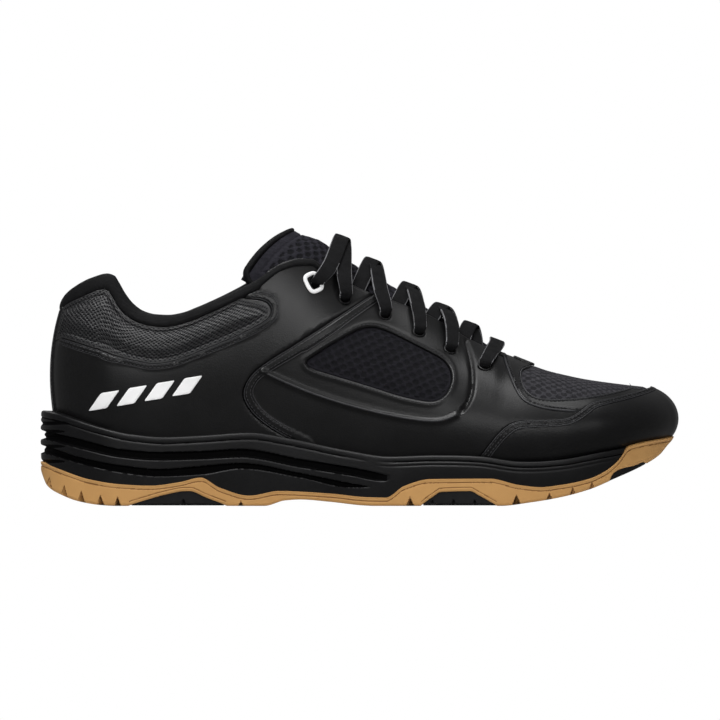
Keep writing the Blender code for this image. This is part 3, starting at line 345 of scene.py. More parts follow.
def rounded(points, turns=2, closed=True):
    """Corner-cutting of a polyline."""
    p = np.asarray(points, float)
    for _ in range(turns):
        q = np.roll(p, -1, 0) if closed else p[1:]
        a = p if closed else p[:-1]
        new = np.stack([a * 0.75 + q * 0.25, a * 0.25 + q * 0.75], 1).reshape(-1, 2)
        p = new if closed else np.vstack([p[:1], new, p[-1:]])
    return [tuple(x) for x in p]


def new_object(name, verts, faces, material, sharp=None):
    mesh = bpy.data.meshes.new(name)
    mesh.from_pydata([tuple(v) for v in np.asarray(verts, float) * MM], [], faces)
    mesh.materials.append(material)
    mesh.shade_smooth()
    if sharp:
        mesh.set_sharp_from_angle(angle=math.radians(sharp))
    obj = bpy.data.objects.new(name, mesh)
    bpy.context.collection.objects.link(obj)
    return obj


def merge(parts):
    """The points and faces of several meshes as one."""
    verts = []
    faces = []
    for points, quads in parts:
        first = len(verts)
        verts += list(points)
        faces += [tuple(k + first for k in face) for face in quads]
    return verts, faces


def weld(obj, dist=2e-6):
    bm = bmesh.new()
    bm.from_mesh(obj.data)
    bmesh.ops.remove_doubles(bm, verts=bm.verts, dist=dist)
    bm.to_mesh(obj.data)
    bm.free()


def on_join(a, b, joins):
    """Whether an outline edge lies on a line where two halves of a panel meet."""
    if "heel" in joins and a[0] < 1e-6 and b[0] < 1e-6:
        return True
    if "toe" in joins and a[0] > 1 - 1e-6 and b[0] > 1 - 1e-6:
        return True
    return "ridge" in joins and min(a[1], b[1]) > 1 - 1e-6 and min(a[0], b[0]) > 0.68


PATCH_TREE_NEAR = 4
ROUNDING_LINES = (0.12, 0.4, 1.0)


def patch(side, poly, pitch, base, relief=None, radius=0.9, wall=1.3, joins=(), holes=(),
          edge_drop=0.55, dark=None):
    """Points, faces and shades of a panel: an (s, v) outline, lifted, with rounded edges and walls."""
    pts, edges, free, bounds = [], [], [], []
    for loop in [clip_unit(list(poly))] + [list(h) for h in holes]:
        first = len(pts)
        for a, b in zip(loop, loop[1:] + loop[:1]):
            n = max(1, math.ceil(math.dist(a * FLAT, b * FLAT) / pitch))
            free += [first > 0 or not on_join(a, b, joins)] * n
            pts += [(a[0] + (b[0] - a[0]) * i / n, a[1] + (b[1] - a[1]) * i / n) for i in range(n)]
        m = len(pts) - first
        edges += [(first + i, first + (i + 1) % m) for i in range(m)]
        bounds.append(np.array(pts[first:]) * FLAT)
    rim = np.array(pts) * FLAT
    ends = rim[np.array(edges)]
    free = np.array(free)
    starts, stops = ends[free, 0], ends[free, 1]
    middles = (starts + stops) / 2
    tree = KDTree(len(middles))
    for i, (x, y) in enumerate(middles):
        tree.insert((x, y, 0), i)
    tree.balance()

    def edge_distance(p):
        count = min(PATCH_TREE_NEAR, len(middles))
        near = np.array([[i for _, i, _ in tree.find_n((x, y, 0), count)] for x, y in p])
        a = starts[near]
        d = stops[near] - a
        q = p[:, None] - a
        t = clamp((q * d).sum(-1) / np.maximum((d * d).sum(-1), 1e-12))
        return np.linalg.norm(q - t[..., None] * d, axis=-1).min(1)

    def within(p):
        ok = inside(p, bounds[0])
        for hole in bounds[1:]:
            ok &= ~inside(p, hole)
        return ok

    lo, hi = rim.min(0), rim.max(0)
    step = pitch * 0.866
    grid = np.vstack([[(x, y) for x in np.arange(lo[0] + (j % 2) * pitch / 2, hi[0] + pitch, pitch)]
                      for j, y in enumerate(np.arange(lo[1], hi[1] + step, step))])
    grid = grid[within(grid)]
    keep = edge_distance(grid) > max(radius * 1.15, pitch * 0.55)
    for joined in ends[~free]:
        keep &= near_line(grid, joined) > pitch * 0.5
    lines = [rim, grid[keep]]
    run = (stops - starts) / np.maximum(np.linalg.norm(stops - starts, axis=1), 1e-9)[:, None]
    out = np.stack([-run[:, 1], run[:, 0]], 1)
    for share in ROUNDING_LINES:
        d = radius * share
        line = np.stack([middles + out * d, middles - out * d], 1).reshape(-1, 2)
        line = line[within(line)]
        lines.append(line[edge_distance(line) > d * 0.93])
    cut = delaunay_2d_cdt([Vector(p) for p in np.vstack(lines)], edges, [], 0, 1e-5)
    flat = np.array([tuple(p) for p in cut[0]])
    tris = np.array([t for t in cut[2] if len(t) == 3])
    tris = tris[within(flat[tris].mean(1))]
    s, v = (flat / FLAT).T
    d = edge_distance(flat)
    lift = base - edge_drop * (1 - np.sqrt(clamp(1 - (1 - clamp(d / radius)) ** 2)))
    if relief:
        lift = lift + relief(at(s, v, side), s, v, d)
    shade = np.zeros(len(tris), int)
    if dark:
        mid = flat[tris].mean(1)
        ms, mv = (mid / FLAT).T
        shade = (dark(at(ms, mv, side), ms, mv) & (edge_distance(mid) > 1.2)).astype(int)
    used = {}
    for t in tris.tolist():
        for a, b in zip(t, t[1:] + t[:1]):
            used.setdefault((min(a, b), max(a, b)), []).append((a, b))
    faces = [tuple(t[::side]) for t in tris.tolist()]
    lower = {}
    for (a, b), uses in used.items():
        if len(uses) != 1 or edge_distance((flat[a] + flat[b])[None] / 2)[0] > 0.02:
            continue
        for k in (a, b):
            lower.setdefault(k, len(flat) + len(lower))
        u, w = uses[0]
        faces.append((w, u, lower[u], lower[w])[::side])
    low = list(lower)
    verts = np.vstack([at(s, v, side, lift), at(s[low], v[low], side, base - wall)])
    return verts, faces, list(shade) + [0] * (len(faces) - len(shade))


def panel(name, sides, poly, pitch, base, material, node, relief=None, flex=False, hollow=None,
          **more):
    made = [patch(side, poly, pitch, base, relief, **more) for side in sides]
    obj = new_object(name, *merge([p[:2] for p in made]), material, sharp=50)
    if hollow:
        darken(obj, hollow, sum([p[2] for p in made], []))
    if len(sides) == 2:
        weld(obj, 4e-5)
    attach(obj, flex=flex)
    if node:
        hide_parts(node)


def darken(obj, material, faces):
    """A second material on the faces marked 1."""
    obj.data.materials.append(material)
    obj.data.polygons.foreach_set("material_index", np.asarray(faces).astype(int).ravel())


def attach(obj, body="rearfoot", flex=False):
    if flex:
        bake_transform(obj)
    else:
        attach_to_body(obj, body)


# ---------------------------------------------------------------- materials


def principled(name, colour, rough, spec=0.5):
    m = bpy.data.materials.new(name)
    m.use_nodes = True
    b = m.node_tree.nodes["Principled BSDF"]
    for key, value in (("Base Color", (*colour, 1)), ("Roughness", rough), ("Specular IOR Level", spec),
                       ("Sheen Roughness", 0.4), ("Coat Roughness", 0.35)):
        b.inputs[key].default_value = value
    return m, m.node_tree, b


def add_node(tree, kind, **inputs):
    n = tree.nodes.new("ShaderNode" + kind)
    for key, value in inputs.items():
        n.inputs[key.replace("_", " ")].default_value = value
    return n


def vary(tree, b, place_at, dark, light, scale, rough=None):
    """Slow mottling of colour and roughness."""
    noise = add_node(tree, "TexNoise", Scale=scale, Detail=4.0, Roughness=0.6)
    tree.links.new(place_at, noise.inputs["Vector"])
    ramp = add_node(tree, "ValToRGB")
    for end, position, colour in zip(ramp.color_ramp.elements, (0.3, 0.7), (dark, light)):
        end.position = position
        end.color = (*colour, 1)
    tree.links.new(noise.outputs["Fac"], ramp.inputs["Fac"])
    tree.links.new(ramp.outputs["Color"], b.inputs["Base Color"])
    if rough:
        span = add_node(tree, "MapRange", To_Min=rough[0], To_Max=rough[1])
        tree.links.new(noise.outputs["Fac"], span.inputs["Value"])
        tree.links.new(span.outputs["Result"], b.inputs["Roughness"])


def bump(tree, b, value, strength, distance):
    n = add_node(tree, "Bump", Strength=strength, Distance=distance)
    tree.links.new(value, n.inputs["Height"])
    tree.links.new(n.outputs["Normal"], b.inputs["Normal"])


def grained(name, dark, light, rough, grain=1400, depth=0.00006, spec=0.4):
    """Coated synthetic with a fine pebbled grain."""
    m, tree, b = principled(name, dark, rough, spec)
    place_at = add_node(tree, "TexCoord").outputs["Object"]
    vary(tree, b, place_at, dark, light, 45, (rough - 0.05, rough + 0.07))
    pebbles = add_node(tree, "TexVoronoi", Scale=float(grain))
    tree.links.new(place_at, pebbles.inputs["Vector"])
    bump(tree, b, pebbles.outputs["Distance"], 0.5, depth)
    return m


def woven(name, dark, light, thread=0.0009, rough=0.9, spec=0.15):
    """Knitted textile: crossed waves at thread scale."""
    m, tree, b = principled(name, dark, rough, spec)
    place_at = add_node(tree, "TexCoord").outputs["Object"]
    vary(tree, b, place_at, dark, light, 260)
    total = None
    for direction in ("X", "Y", "Z"):
        wave = add_node(tree, "TexWave", Scale=0.32 / thread, Distortion=1.2, Detail=1.0)
        wave.bands_direction = direction
        tree.links.new(place_at, wave.inputs["Vector"])
        if total is None:
            total = wave.outputs["Fac"]
            continue
        mix = add_node(tree, "Math")
        mix.operation = "ADD"
        tree.links.new(total, mix.inputs[0])
        tree.links.new(wave.outputs["Fac"], mix.inputs[1])
        total = mix.outputs["Value"]
    bump(tree, b, total, 0.6, 0.00012)
    return m


SYNTH = grained("black_synthetic", (0.0030, 0.0030, 0.0033), (0.0046, 0.0046, 0.0050), 0.35, spec=0.30)
SYNTH_REAR = grained("black_synthetic_rear", (0.0030, 0.0030, 0.0033), (0.0046, 0.0046, 0.0050), 0.31,
                     spec=0.42)
BINDING = woven("binding_cloth", (0.0045, 0.0045, 0.005), (0.0075, 0.0075, 0.0082), 0.0006, 0.75)
SIDE_MESH = woven("side_mesh", (0.0075, 0.0072, 0.0095), (0.0130, 0.0125, 0.0165), 0.0007)
TONGUE_MESH = woven("tongue_mesh", (0.014, 0.0135, 0.018), (0.025, 0.024, 0.031), 0.0007)
TOE_DARK = woven("toe_mesh_recess", (0.016, 0.0155, 0.018), (0.024, 0.0235, 0.027), 0.0005)
TOE_MESH = woven("toe_mesh", (0.032, 0.031, 0.036), (0.050, 0.049, 0.055), 0.0007)
COLLAR_CLOTH = woven("collar_cloth", (0.0085, 0.0085, 0.0095), (0.0125, 0.0125, 0.0135), 0.0006, 0.42,
                     spec=0.9)
MESH_DARK = woven("mesh_recess", (0.0055, 0.0055, 0.0070), (0.0085, 0.0085, 0.0105), 0.0005)
LINER = woven("lining_cloth", (0.0055, 0.0055, 0.006), (0.010, 0.010, 0.011), 0.0010)
THREAD = woven("thread", (0.028, 0.028, 0.030), (0.045, 0.045, 0.048), 0.0004, 0.7)
FOAM_BLACK = grained("midsole_foam", (0.0034, 0.0034, 0.0038), (0.0050, 0.0050, 0.0056), 0.38, 900,
                     0.00005, 0.26)
# Darker, duller foam for the faces in the midsole's grooves and lines: painted shade.
GROOVE_SHADE = grained("midsole_groove_painted_shade", (0.0008, 0.0008, 0.001), (0.0012, 0.0012, 0.0014), 0.6, 900,
                       0.00005, 0.05)
RUBBER_BLACK = grained("black_rubber", (0.006, 0.006, 0.0066), (0.009, 0.009, 0.0098), 0.5, 1100,
                       0.00005, 0.2)
GUM = grained("gum_rubber", (0.455, 0.247, 0.086), (0.51, 0.284, 0.101), 0.6, 1300, 0.00004, 0.2)
# Dark brown for the gum's grooved lines and notch edges: painted shade.
GUM_GROOVE_SHADE = grained("gum_groove_painted_shade", (0.20, 0.095, 0.030), (0.25, 0.125, 0.040), 0.7, 1300, 0.00004, 0.2)
WHITE = grained("white_plastic", (0.80, 0.80, 0.80), (0.88, 0.88, 0.88), 0.4, 1500, 0.00002)
# Lighter grey for the raised beads and ridges: the beads are real shapes, and their lighter colour is a
# painted highlight.
PIPING_HIGHLIGHT = grained("piping", (0.022, 0.022, 0.024), (0.032, 0.032, 0.035), 0.38, spec=0.3)
BOARD = woven("stiffener", (0.014, 0.013, 0.012), (0.022, 0.021, 0.019), 0.0012)
LACE_CLOTH = woven("lace_cloth", (0.0042, 0.0042, 0.0046), (0.0080, 0.0080, 0.0088), 0.0005, 0.85)
# Light grey along the lace's edges: a painted highlight.
LACE_EDGE_HIGHLIGHT = woven("lace_edge_painted_highlight", (0.13, 0.13, 0.135), (0.20, 0.20, 0.21), 0.0005, 0.85)

# ---------------------------------------------------------------- outlines

SPOTS = placed(EYELETS)


def hole_rings(side, first, last):
    return [ring(SPOTS[k], 2.6, side, 20) for k in range(first, last)]


def open_curve(points):
    return rounded(points, closed=False)


EDGE_SV, SEAM_SV, SADDLE_SV, TOE_SV, VAMP_SV, FRONT_SV = [
    placed(open_curve(line))
    for line in (COLLAR_EDGE, COLLAR_SEAM, SADDLE, TOE_SEAM, VAMP_SEAM, TOE_WINDOW)]
WINDOW_SV = placed(rounded(WINDOW))
STAY = 0.036

EMBOSS = open_curve([(-46.1, 63.2), (-32.9, 57.1), (-18.8, 51.5), (0, 45.8), (18.8, 41.6),
                     (32.9, 39.7), (40, 40.2), (47, 43.5)])
GROOVE = open_curve([(47, 43.5), (51.7, 50.1), (53.1, 59.5), (52.2, 68.9), (49.8, 77.5)])

# Staggered mesh cells: pitches in mm, where a cell's floor ends and its rim begins, and its dark part.
WINDOW_PITCH = 4.9
TOE_PITCH = 4.8
COLLAR_PITCH = 2.3
TONGUE_PITCH = 4.4
CELL_FLOOR = 0.30
CELL_RIM = 0.37
CELL_DARK = 0.335


def cell_distance(a, b, pitch):
    """Distance to the middle of the nearest cell of a staggered honeycomb, in pitches."""
    row = np.round(b / (pitch * 0.5))
    best = np.full(np.shape(a), 9e9)
    for dr in (-1, 0, 1):
        r = row + dr
        sh = np.where(np.mod(r, 2) > 0.5, 0.5, 0.0)
        c = np.round(a / pitch - sh) + sh
        da = np.abs(a - c * pitch)
        db = np.abs(b - r * pitch * 0.5)
        best = np.minimum(best, np.maximum(da + db * 0.55, db * 1.35))
    return best / pitch


def fade(d, width):
    q = clamp(d / width)
    return q * q * (3 - 2 * q)


def cells(a, b, pitch, depth, r0=0.27, r1=CELL_RIM):
    """Sunken cells of a staggered mesh over two in-plane coordinates."""
    return -depth * (1 - fade(cell_distance(a, b, pitch) - r0, r1 - r0))


def window_axes(p):
    return p[:, 0] * 0.94 - p[:, 2] * 0.34, p[:, 0] * 0.34 + p[:, 2] * 0.94


def toe_axes(p):
    """Along the shoe, and distance down from the ridge over the vamp."""
    drop = np.clip(66 - p[:, 2] - (p[:, 0] - 77) * 0.18, 0, 99)
    return p[:, 0], np.sign(p[:, 1]) * np.hypot(p[:, 1], drop)


def window_relief(p, s, v, d):
    dots = cells(*window_axes(p), WINDOW_PITCH, 0.5, CELL_FLOOR)
    return dots * fade(d - 0.6, 1.2) + 0.5 * fade(d, 6)


def window_dark(p, s, v):
    return cell_distance(*window_axes(p), WINDOW_PITCH) < CELL_DARK


def toe_relief(p, s, v, d):
    return cells(*toe_axes(p), TOE_PITCH, 0.45, CELL_FLOOR) * fade(d - 0.6, 1.2) + 0.5 * fade(d, 6)


def toe_dark(p, s, v):
    return cell_distance(*toe_axes(p), TOE_PITCH) < CELL_DARK


def collar_relief(p, s, v, d):
    dots = cells(s * LONG, v * TALL * 1.02, COLLAR_PITCH, 0.30, 0.20, 0.36)
    return dots * fade(d - 4.2, 1.0) + 1.9 * fade(d - 3.6, 7) - 0.45 * bell(d - 3.6, 0.5)


def collar_dark(p, s, v):
    return cell_distance(s * LONG, v * TALL * 1.02, COLLAR_PITCH) < 0.27


def from_line(s, v, line):
    """Distance in mm from an (s, v) outline, laid flat."""
    return near_line(np.column_stack([s, v]) * FLAT, np.array(line) * FLAT)


def welted(d, near, far):
    """1 on a band between two distances from a line, with soft shoulders."""
    return clamp((d - near) / 0.35) * clamp((far - d) / 0.35)


def quarter_relief(p, s, v, d):
    xz = p[:, [0, 2]]
    lift = 0.95 * bell(near_line(xz, EMBOSS), 1.25) - 1.3 * bell(near_line(xz, GROOVE), 1.05)
    lift += 0.35 * bell(near_line(xz, rounded(WINDOW), True) - 1.5, 1.0)
    return lift + 0.45 * welted(from_line(s, v, SADDLE_SV), 0.3, 4.1)


def heel_relief(p, s, v, d):
    hollow = near_line(p[:, [0, 2]], [(-120, 52), (-75, 58), (-60, 62)])
    seam = 0.42 * welted(from_line(s, v, SEAM_SV), 0.5, 3.4)
    return 0.5 * bell(hollow, 22) + seam - 0.35 * bell(from_line(s, v, SADDLE_SV), 0.6)


def toe_cap_relief(p, s, v, d):
    band = from_line(s, v, TOE_SV)
    step = 0.30 * (1 - fade(band - 3.6, 0.6))
    for row in (1.95, 3.7):
        step -= 0.45 * bell(band - row, 0.30)
    return step


def vamp_relief(p, s, v, d):
    return 0.55 * bell(from_line(s, v, VAMP_SV) - 1.0, 1.0)


def crossing(line, v):
    """Where an outline first reaches a given v."""
    for (s0, v0), (s1, v1) in zip(line, line[1:]):
        if (v0 - v) * (v1 - v) <= 0 and v0 != v1:
            return (s0 + (s1 - s0) * (v - v0) / (v1 - v0), v)
    return line[-1]


def below(line, v, low=-1):
    return [q for q in line if low < q[1] < v]


# Closed (s, v) outlines of the panels. They run past 0 and 1, and patch() clips them.
SEAM_LOW = [q for q in SEAM_SV if q[0] > STAY]
SADDLE_LOW = below(SADDLE_SV, 0.99, 0.03)
TOE_HIT = crossing(TOE_SV, VAMP_SV[-1][1])
MESH_HIT = crossing(TOE_SV, FRONT_SV[-1][1])
VAMP_LOW = below(VAMP_SV, 0.86)
THROAT_S = 0.662
THROAT = ([(THROAT_S, 1.1), (THROAT_S, 0.90), (VAMP_LOW[0][0] - 0.001, 0.875)] + VAMP_LOW +
          [TOE_HIT])
SADDLE_TOP = (SADDLE_SV[0][0] + 0.002, 1.1)
TOE_BASE = (TOE_SV[0][0] - 0.004, -0.1)
MESH_TOP = (FRONT_SV[0][0] - 0.002, 1.1)
collar_outline = ([(STAY, SEAM_SV[0][1])] + SEAM_LOW +
                  [q for q in EDGE_SV[::-1] if q[0] < SEAM_SV[-1][0]] + [(STAY, EDGE_SV[0][1])])
heel_outline = ([(STAY, -0.1), (STAY, SEAM_SV[0][1])] + SEAM_LOW +
                [q for q in EDGE_SV if q[0] > SEAM_SV[-1][0]] + [(EDGE_SV[-1][0] + 0.012, 1.1)] +
                [SADDLE_TOP] + SADDLE_SV + [(SADDLE_SV[-1][0], -0.1)])
quarter_outline = ([(SADDLE_SV[-1][0], -0.1)] + SADDLE_SV[::-1] + [SADDLE_TOP] + THROAT +
                   [q for q in TOE_SV[::-1] if q[1] < TOE_HIT[1] and q[0] < TOE_HIT[0]] + [TOE_BASE])
vamp_outline = (THROAT + [q for q in TOE_SV if TOE_HIT[0] < q[0] < MESH_HIT[0]] + [MESH_HIT] +
                FRONT_SV[::-1] + [MESH_TOP, (0.69, 1.1)])
toe_mesh_outline = ([MESH_TOP] + FRONT_SV + [MESH_HIT] + [q for q in TOE_SV if q[0] > MESH_HIT[0]] +
                    [(TOE_SV[-1][0], 1.1)])
toe_outline = [TOE_BASE] + TOE_SV + [(TOE_SV[-1][0] + 0.01, 1.1), (1.1, 1.1), (1.1, -0.1)]
stay_outline = [(-0.1, -0.1), (STAY, -0.1), (STAY, EDGE_SV[0][1]), (-0.1, EDGE_SV[0][1])]

# ---------------------------------------------------------------- upper panels

panel("back_stay_cover", BOTH, stay_outline, 2.2, 0.35, SYNTH_REAR, "back_stay", joins=("heel",),
      wall=1.8)
panel("toe_cap_cover", BOTH, toe_outline, 1.1, 0.55, SYNTH, "toe_cap", toe_cap_relief, flex=True,
      joins=("toe", "ridge"), wall=2.0)
panel("vamp_cover", BOTH, vamp_outline, 1.5, 0.15, SYNTH, "vamp_overlay", vamp_relief,
      flex=True, joins=("toe", "ridge"), wall=2.0)
panel("toe_mesh_cover", BOTH, toe_mesh_outline, 0.62, -0.75, TOE_MESH, "vamp_mesh", toe_relief,
      flex=True, joins=("toe", "ridge"), radius=0.5, edge_drop=0.2, dark=toe_dark, hollow=TOE_DARK)
for side, word in ((-1, "lateral"), (1, "medial")):
    panel("heel_cover_" + word, (side,), heel_outline, 1.8, -0.25, SYNTH_REAR, "heel_panel_" + word,
          heel_relief, holes=hole_rings(side, 0, 2), wall=2.9)
    panel("quarter_cover_" + word, (side,), quarter_outline, 0.9, 0.15, SYNTH,
          "quarter_panel_" + word, quarter_relief, flex=True,
          holes=[WINDOW_SV] + hole_rings(side, 2, 6), wall=3.1)
    panel("collar_mesh_cover_" + word, (side,), collar_outline, 0.40, -0.35, COLLAR_CLOTH,
          "collar_mesh_" + word, collar_relief, radius=0.6, wall=1.6, dark=collar_dark,
          hollow=MESH_DARK)
    panel("side_mesh_cover_" + word, (side,), WINDOW_SV, 0.62, -0.95, SIDE_MESH,
          "side_mesh_" + word, window_relief, radius=0.5, edge_drop=0.2, flex=True,
          dark=window_dark, hollow=MESH_DARK)


# ---------------------------------------------------------------- grids


def grid_faces(rows, cols, closed=False, flip=False, first=0):
    faces = []
    for i in range(rows - 1):
        for j in range(cols if closed else cols - 1):
            a = first + i * cols + j
            b = first + i * cols + (j + 1) % cols
            quad = (a, b, b + cols, a + cols)
            faces.append(quad[::-1] if flip else quad)
    return faces


def grid_object(name, grids, material, closed=False, join=4e-5):
    """One mesh from several (rows, cols, 3) grids of points; a True beside one flips it."""
    parts = [(g.reshape(-1, 3), grid_faces(*g.shape[:2], closed, flip)) for g, flip in grids]
    obj = new_object(name, *merge(parts), material)
    weld(obj, join)
    obj.data.shade_smooth()
    obj.data.set_sharp_from_angle(angle=math.radians(60))
    return obj


def two_sided(name, rows_of, flip_side, material, nodes, join=1e-5, flex=True):
    """A cover of both sides from the rows of points that rows_of gives for each."""
    grids = [(np.array(rows_of(side)), side == flip_side) for side in BOTH]
    obj = grid_object(name, grids, material, join=join)
    attach(obj, flex=flex)
    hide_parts(*nodes)
    return obj


def swell(grid, held, flip=False, pressure=4.0, stiff=15.0, cap=2.5, frames=20):
    """Cloth simulation of a padded cover: a grid of points blown up off its held points, capped."""
    obj = new_object("swell", grid.reshape(-1, 3), grid_faces(*grid.shape[:2], flip=flip), LINER)
    pins = obj.vertex_groups.new(name="held")
    pins.add([int(i) for i in np.flatnonzero(held)], 1.0, "REPLACE")
    cloth = obj.modifiers.new("Cloth", "CLOTH")
    cloth.settings.vertex_group_mass = "held"
    for kind in ("tension", "compression", "shear"):
        setattr(cloth.settings, kind + "_stiffness", stiff)
    cloth.settings.use_pressure = True
    cloth.settings.uniform_pressure_force = pressure
    cloth.settings.effector_weights.gravity = 0
    cloth.point_cache.frame_start = 1
    cloth.point_cache.frame_end = frames
    scene = bpy.context.scene
    for frame_number in range(1, frames + 1):
        scene.frame_set(frame_number)
    blown = obj.evaluated_get(bpy.context.evaluated_depsgraph_get()).to_mesh()
    points = np.empty(len(blown.vertices) * 3)
    blown.vertices.foreach_get("co", points)
    points = points.reshape(grid.shape) / MM
    bpy.data.objects.remove(obj)
    scene.frame_set(1)
    move = points - grid
    size = np.linalg.norm(move, axis=-1, keepdims=True)
    move *= cap * np.tanh(size / cap) / np.maximum(size, 1e-9)
    return grid + move


def border(shape, top, bottom, left, right):
    """Marks the points to hold along each edge of a grid."""
    held = np.zeros(shape, bool)
    held[:top] = held[-bottom:] = True
    held[:, :left] = held[:, -right:] = True
    return held


def pad_depth(s, v):
    return PANEL + GAP + 1.2 + COLLAR_PAD * clamp((0.40 - s) / 0.10) * clamp((v - 0.35) / 0.25)


COLLAR_END = 0.43
EDGE_S = np.array([0] + [q[0] for q in EDGE_SV] + [0.36, 0.40, COLLAR_END])
EDGE_V = np.array([EDGE_SV[0][1]] + [q[1] for q in EDGE_SV] + [0.925, 0.940, 0.955])
PUFF = 0.9
PUFF_TURN = 0.62


def collar_rows(side):
    """Bound edge of the collar, tucked in, over the top and down to the lining."""
    s = np.linspace(0, COLLAR_END, 170)
    edge = np.interp(s, EDGE_S, EDGE_V)
    tall = np.linalg.norm(surface(s, s * 0 + 1, side) - surface(s, s * 0 + 0.9, side), axis=-1) * 10
    deep = pad_depth(s, np.ones_like(s)) + 1.3
    rise = np.minimum(deep * 0.55, (1 - edge) * tall * 0.75)
    v_arc = 1 - rise / tall
    rows = [at(s, edge - 0.012, side, -1.3)]
    for q in shares(9):
        puff = PUFF * math.sin(math.pi * q * PUFF_TURN) ** 0.7 if q else -0.1
        rows.append(at(s, edge + (v_arc - edge) * q, side, puff))
    first = PUFF * math.sin(math.pi * PUFF_TURN) ** 0.7
    for turn in np.linspace(0.12, math.pi - 0.05, 16):
        depth = (deep + first) * (1 - math.cos(turn)) / 2 - first
        rows.append(at(s, v_arc + rise / tall * math.sin(turn), side, -depth))
    for q in np.linspace(0.1, 1, 6):
        rows.append(at(s, v_arc - 0.12 * q, side, -(deep + 0.25 * math.sin(math.pi * q))))
    return rows


roll = two_sided("collar_roll", collar_rows, 1, BINDING, ("collar_binding", "collar_foam"), 4e-5, False)

# The collar lining is blown up from this row down and over this many columns.
PAD_ROW = 14
PAD_COLUMNS = 88


def lining_rows(side):
    s = np.concatenate([np.linspace(0, 0.43, 90), np.linspace(0.435, 1, 90)])
    top = np.interp(s, [0, 0.42, 0.44, 1], [0.9, 0.94, 0.995, 0.995])
    collar = clamp((0.4 - s) / 0.12)
    rows = []
    for q in shares(46):
        round_out = 0.9 * collar * math.sin(math.pi * q) ** 2 * clamp((q - 0.3) * 3)
        rows.append(at(s, top * q, side, -(pad_depth(s, top * q) + 1.15 + round_out)))
    rows = np.array(rows)
    pad = rows[PAD_ROW:, :PAD_COLUMNS]
    rows[PAD_ROW:, :PAD_COLUMNS] = swell(pad, border(pad.shape[:2], 2, 3, 1, 3), side < 0,
                                         pressure=10.0, stiff=5.0)
    return rows


two_sided("lining_cover", lining_rows, -1, LINER, ("lining",), 4e-5)

SPINE_Y = smooth([(60, 0), (112, 3), (147, 5)])


def ring_at(s, side, inset):
    return outline(s, side) + inward(s, side) * np.asarray(inset, float)[..., None]


def spine_line(s, inset):
    x = np.clip((ring_at(s, -1, inset)[:, 0] + ring_at(s, 1, inset)[:, 0]) / 2, -112, 108)
    return np.column_stack([x, SPINE_Y(x)])


def insole_rows(side):
    s = shares(200)
    inset = INSET(s) + 4.3
    edge = ring_at(s, side, inset)
    middle = spine_line(s, inset)
    rows = []
    for q in shares(26):
        xy = edge + (middle - edge) * q
        cup = np.interp(xy[:, 0], [-140, -70, 20, 60, 120], [1.8, 1.4, 1.0, 0.4, 0.1])
        z = DISH(xy[:, 0]) + 5.6 + cup * clamp(1 - q * 2.6) ** 2 - 1.2 * math.exp(-(q / 0.03) ** 2)
        z = z - 0.10 * (np.sin(xy[:, 0] * 2.4) * np.sin(xy[:, 1] * 2.4) > 0.55)
        rows.append(np.column_stack([xy, z]))
    skirt = np.column_stack([ring_at(s, side, inset - 2.4), rows[0][:, 2] - 0.6])
    return [skirt] + rows


insole = two_sided("insole_cover", insole_rows, 1, LINER, ("insole", "strobel_board"))

# ---------------------------------------------------------------- sole


def rim_height(x, s):
    return FEATHER(x) - np.interp(s, [0.64, 0.74], [0, 1.2])


def wall_height(x, s):
    return np.minimum(GUM_TOP(x), FEATHER(x) - np.interp(s, [0.85, 0.95], [0, 0.8]))


G1_TOP = smooth([(-150, 35.4), (-148, 35), (-131.7, 31.3), (-112.8, 26.6), (-94, 25.2), (-75, 25.6),
                 (-56, 26.6), (-28, 21.9), (-4.7, 18.1), (11.8, 14.8), (16.5, 14)])
G1_LOW = smooth([(-150, 31.6), (-148, 31.3), (-131.7, 27), (-112.8, 22.8), (-94, 21.4), (-75, 21.9),
                 (-56, 22.8), (-28, 18.1), (-4.7, 14.3), (11.8, 11.5), (16.5, 13.8)])
G2_TOP = smooth([(-150, 28.4), (-148, 28), (-131.7, 22.8), (-112.8, 19), (-94, 17.2), (-75, 18.6),
                 (-56, 20), (-28, 15.3), (-4.7, 10.6), (7, 8.8)])
G2_LOW = smooth([(-150, 25), (-148, 24.6), (-131.7, 20), (-112.8, 15.8), (-94, 13.9), (-75, 14.8),
                 (-56, 17.6), (-28, 13.4), (-4.7, 8.7), (7, 8.6)])
DENTS = (38.8, 35.0, 32.2, 28.0, 20.9)


def midsole_relief(x, z, top):
    """Depth of the side wall's grooves and lines, in mm."""
    lift = np.zeros_like(x)
    for hi, lo, end in ((G1_TOP, G1_LOW, 14.5), (G2_TOP, G2_LOW, 5.0)):
        half = np.maximum((hi(x) - lo(x)) / 2, 0.3)
        q = np.clip(np.abs(z - (hi(x) + lo(x)) / 2) / half, 0, 1.6)
        lift -= 1.7 * (1 - clamp((q - 0.72) / 0.42)) * clamp((end - x) / 9)
    for below_top, depth in ((2.8, 0.45), (4.7, 0.3)):
        lift -= depth * bell(top - z - below_top, 0.42) * clamp((x - 8) / 10)
    for dent in DENTS:
        lift -= clamp((-135 - x) / 11) * 0.9 * bell(z - dent, 0.9)
    return lift - 0.4 * bell(top - z - 3.2, 0.5) * clamp((4 - x) / 14)


COLUMNS = 620
MIDSOLE_RISE = 0.9


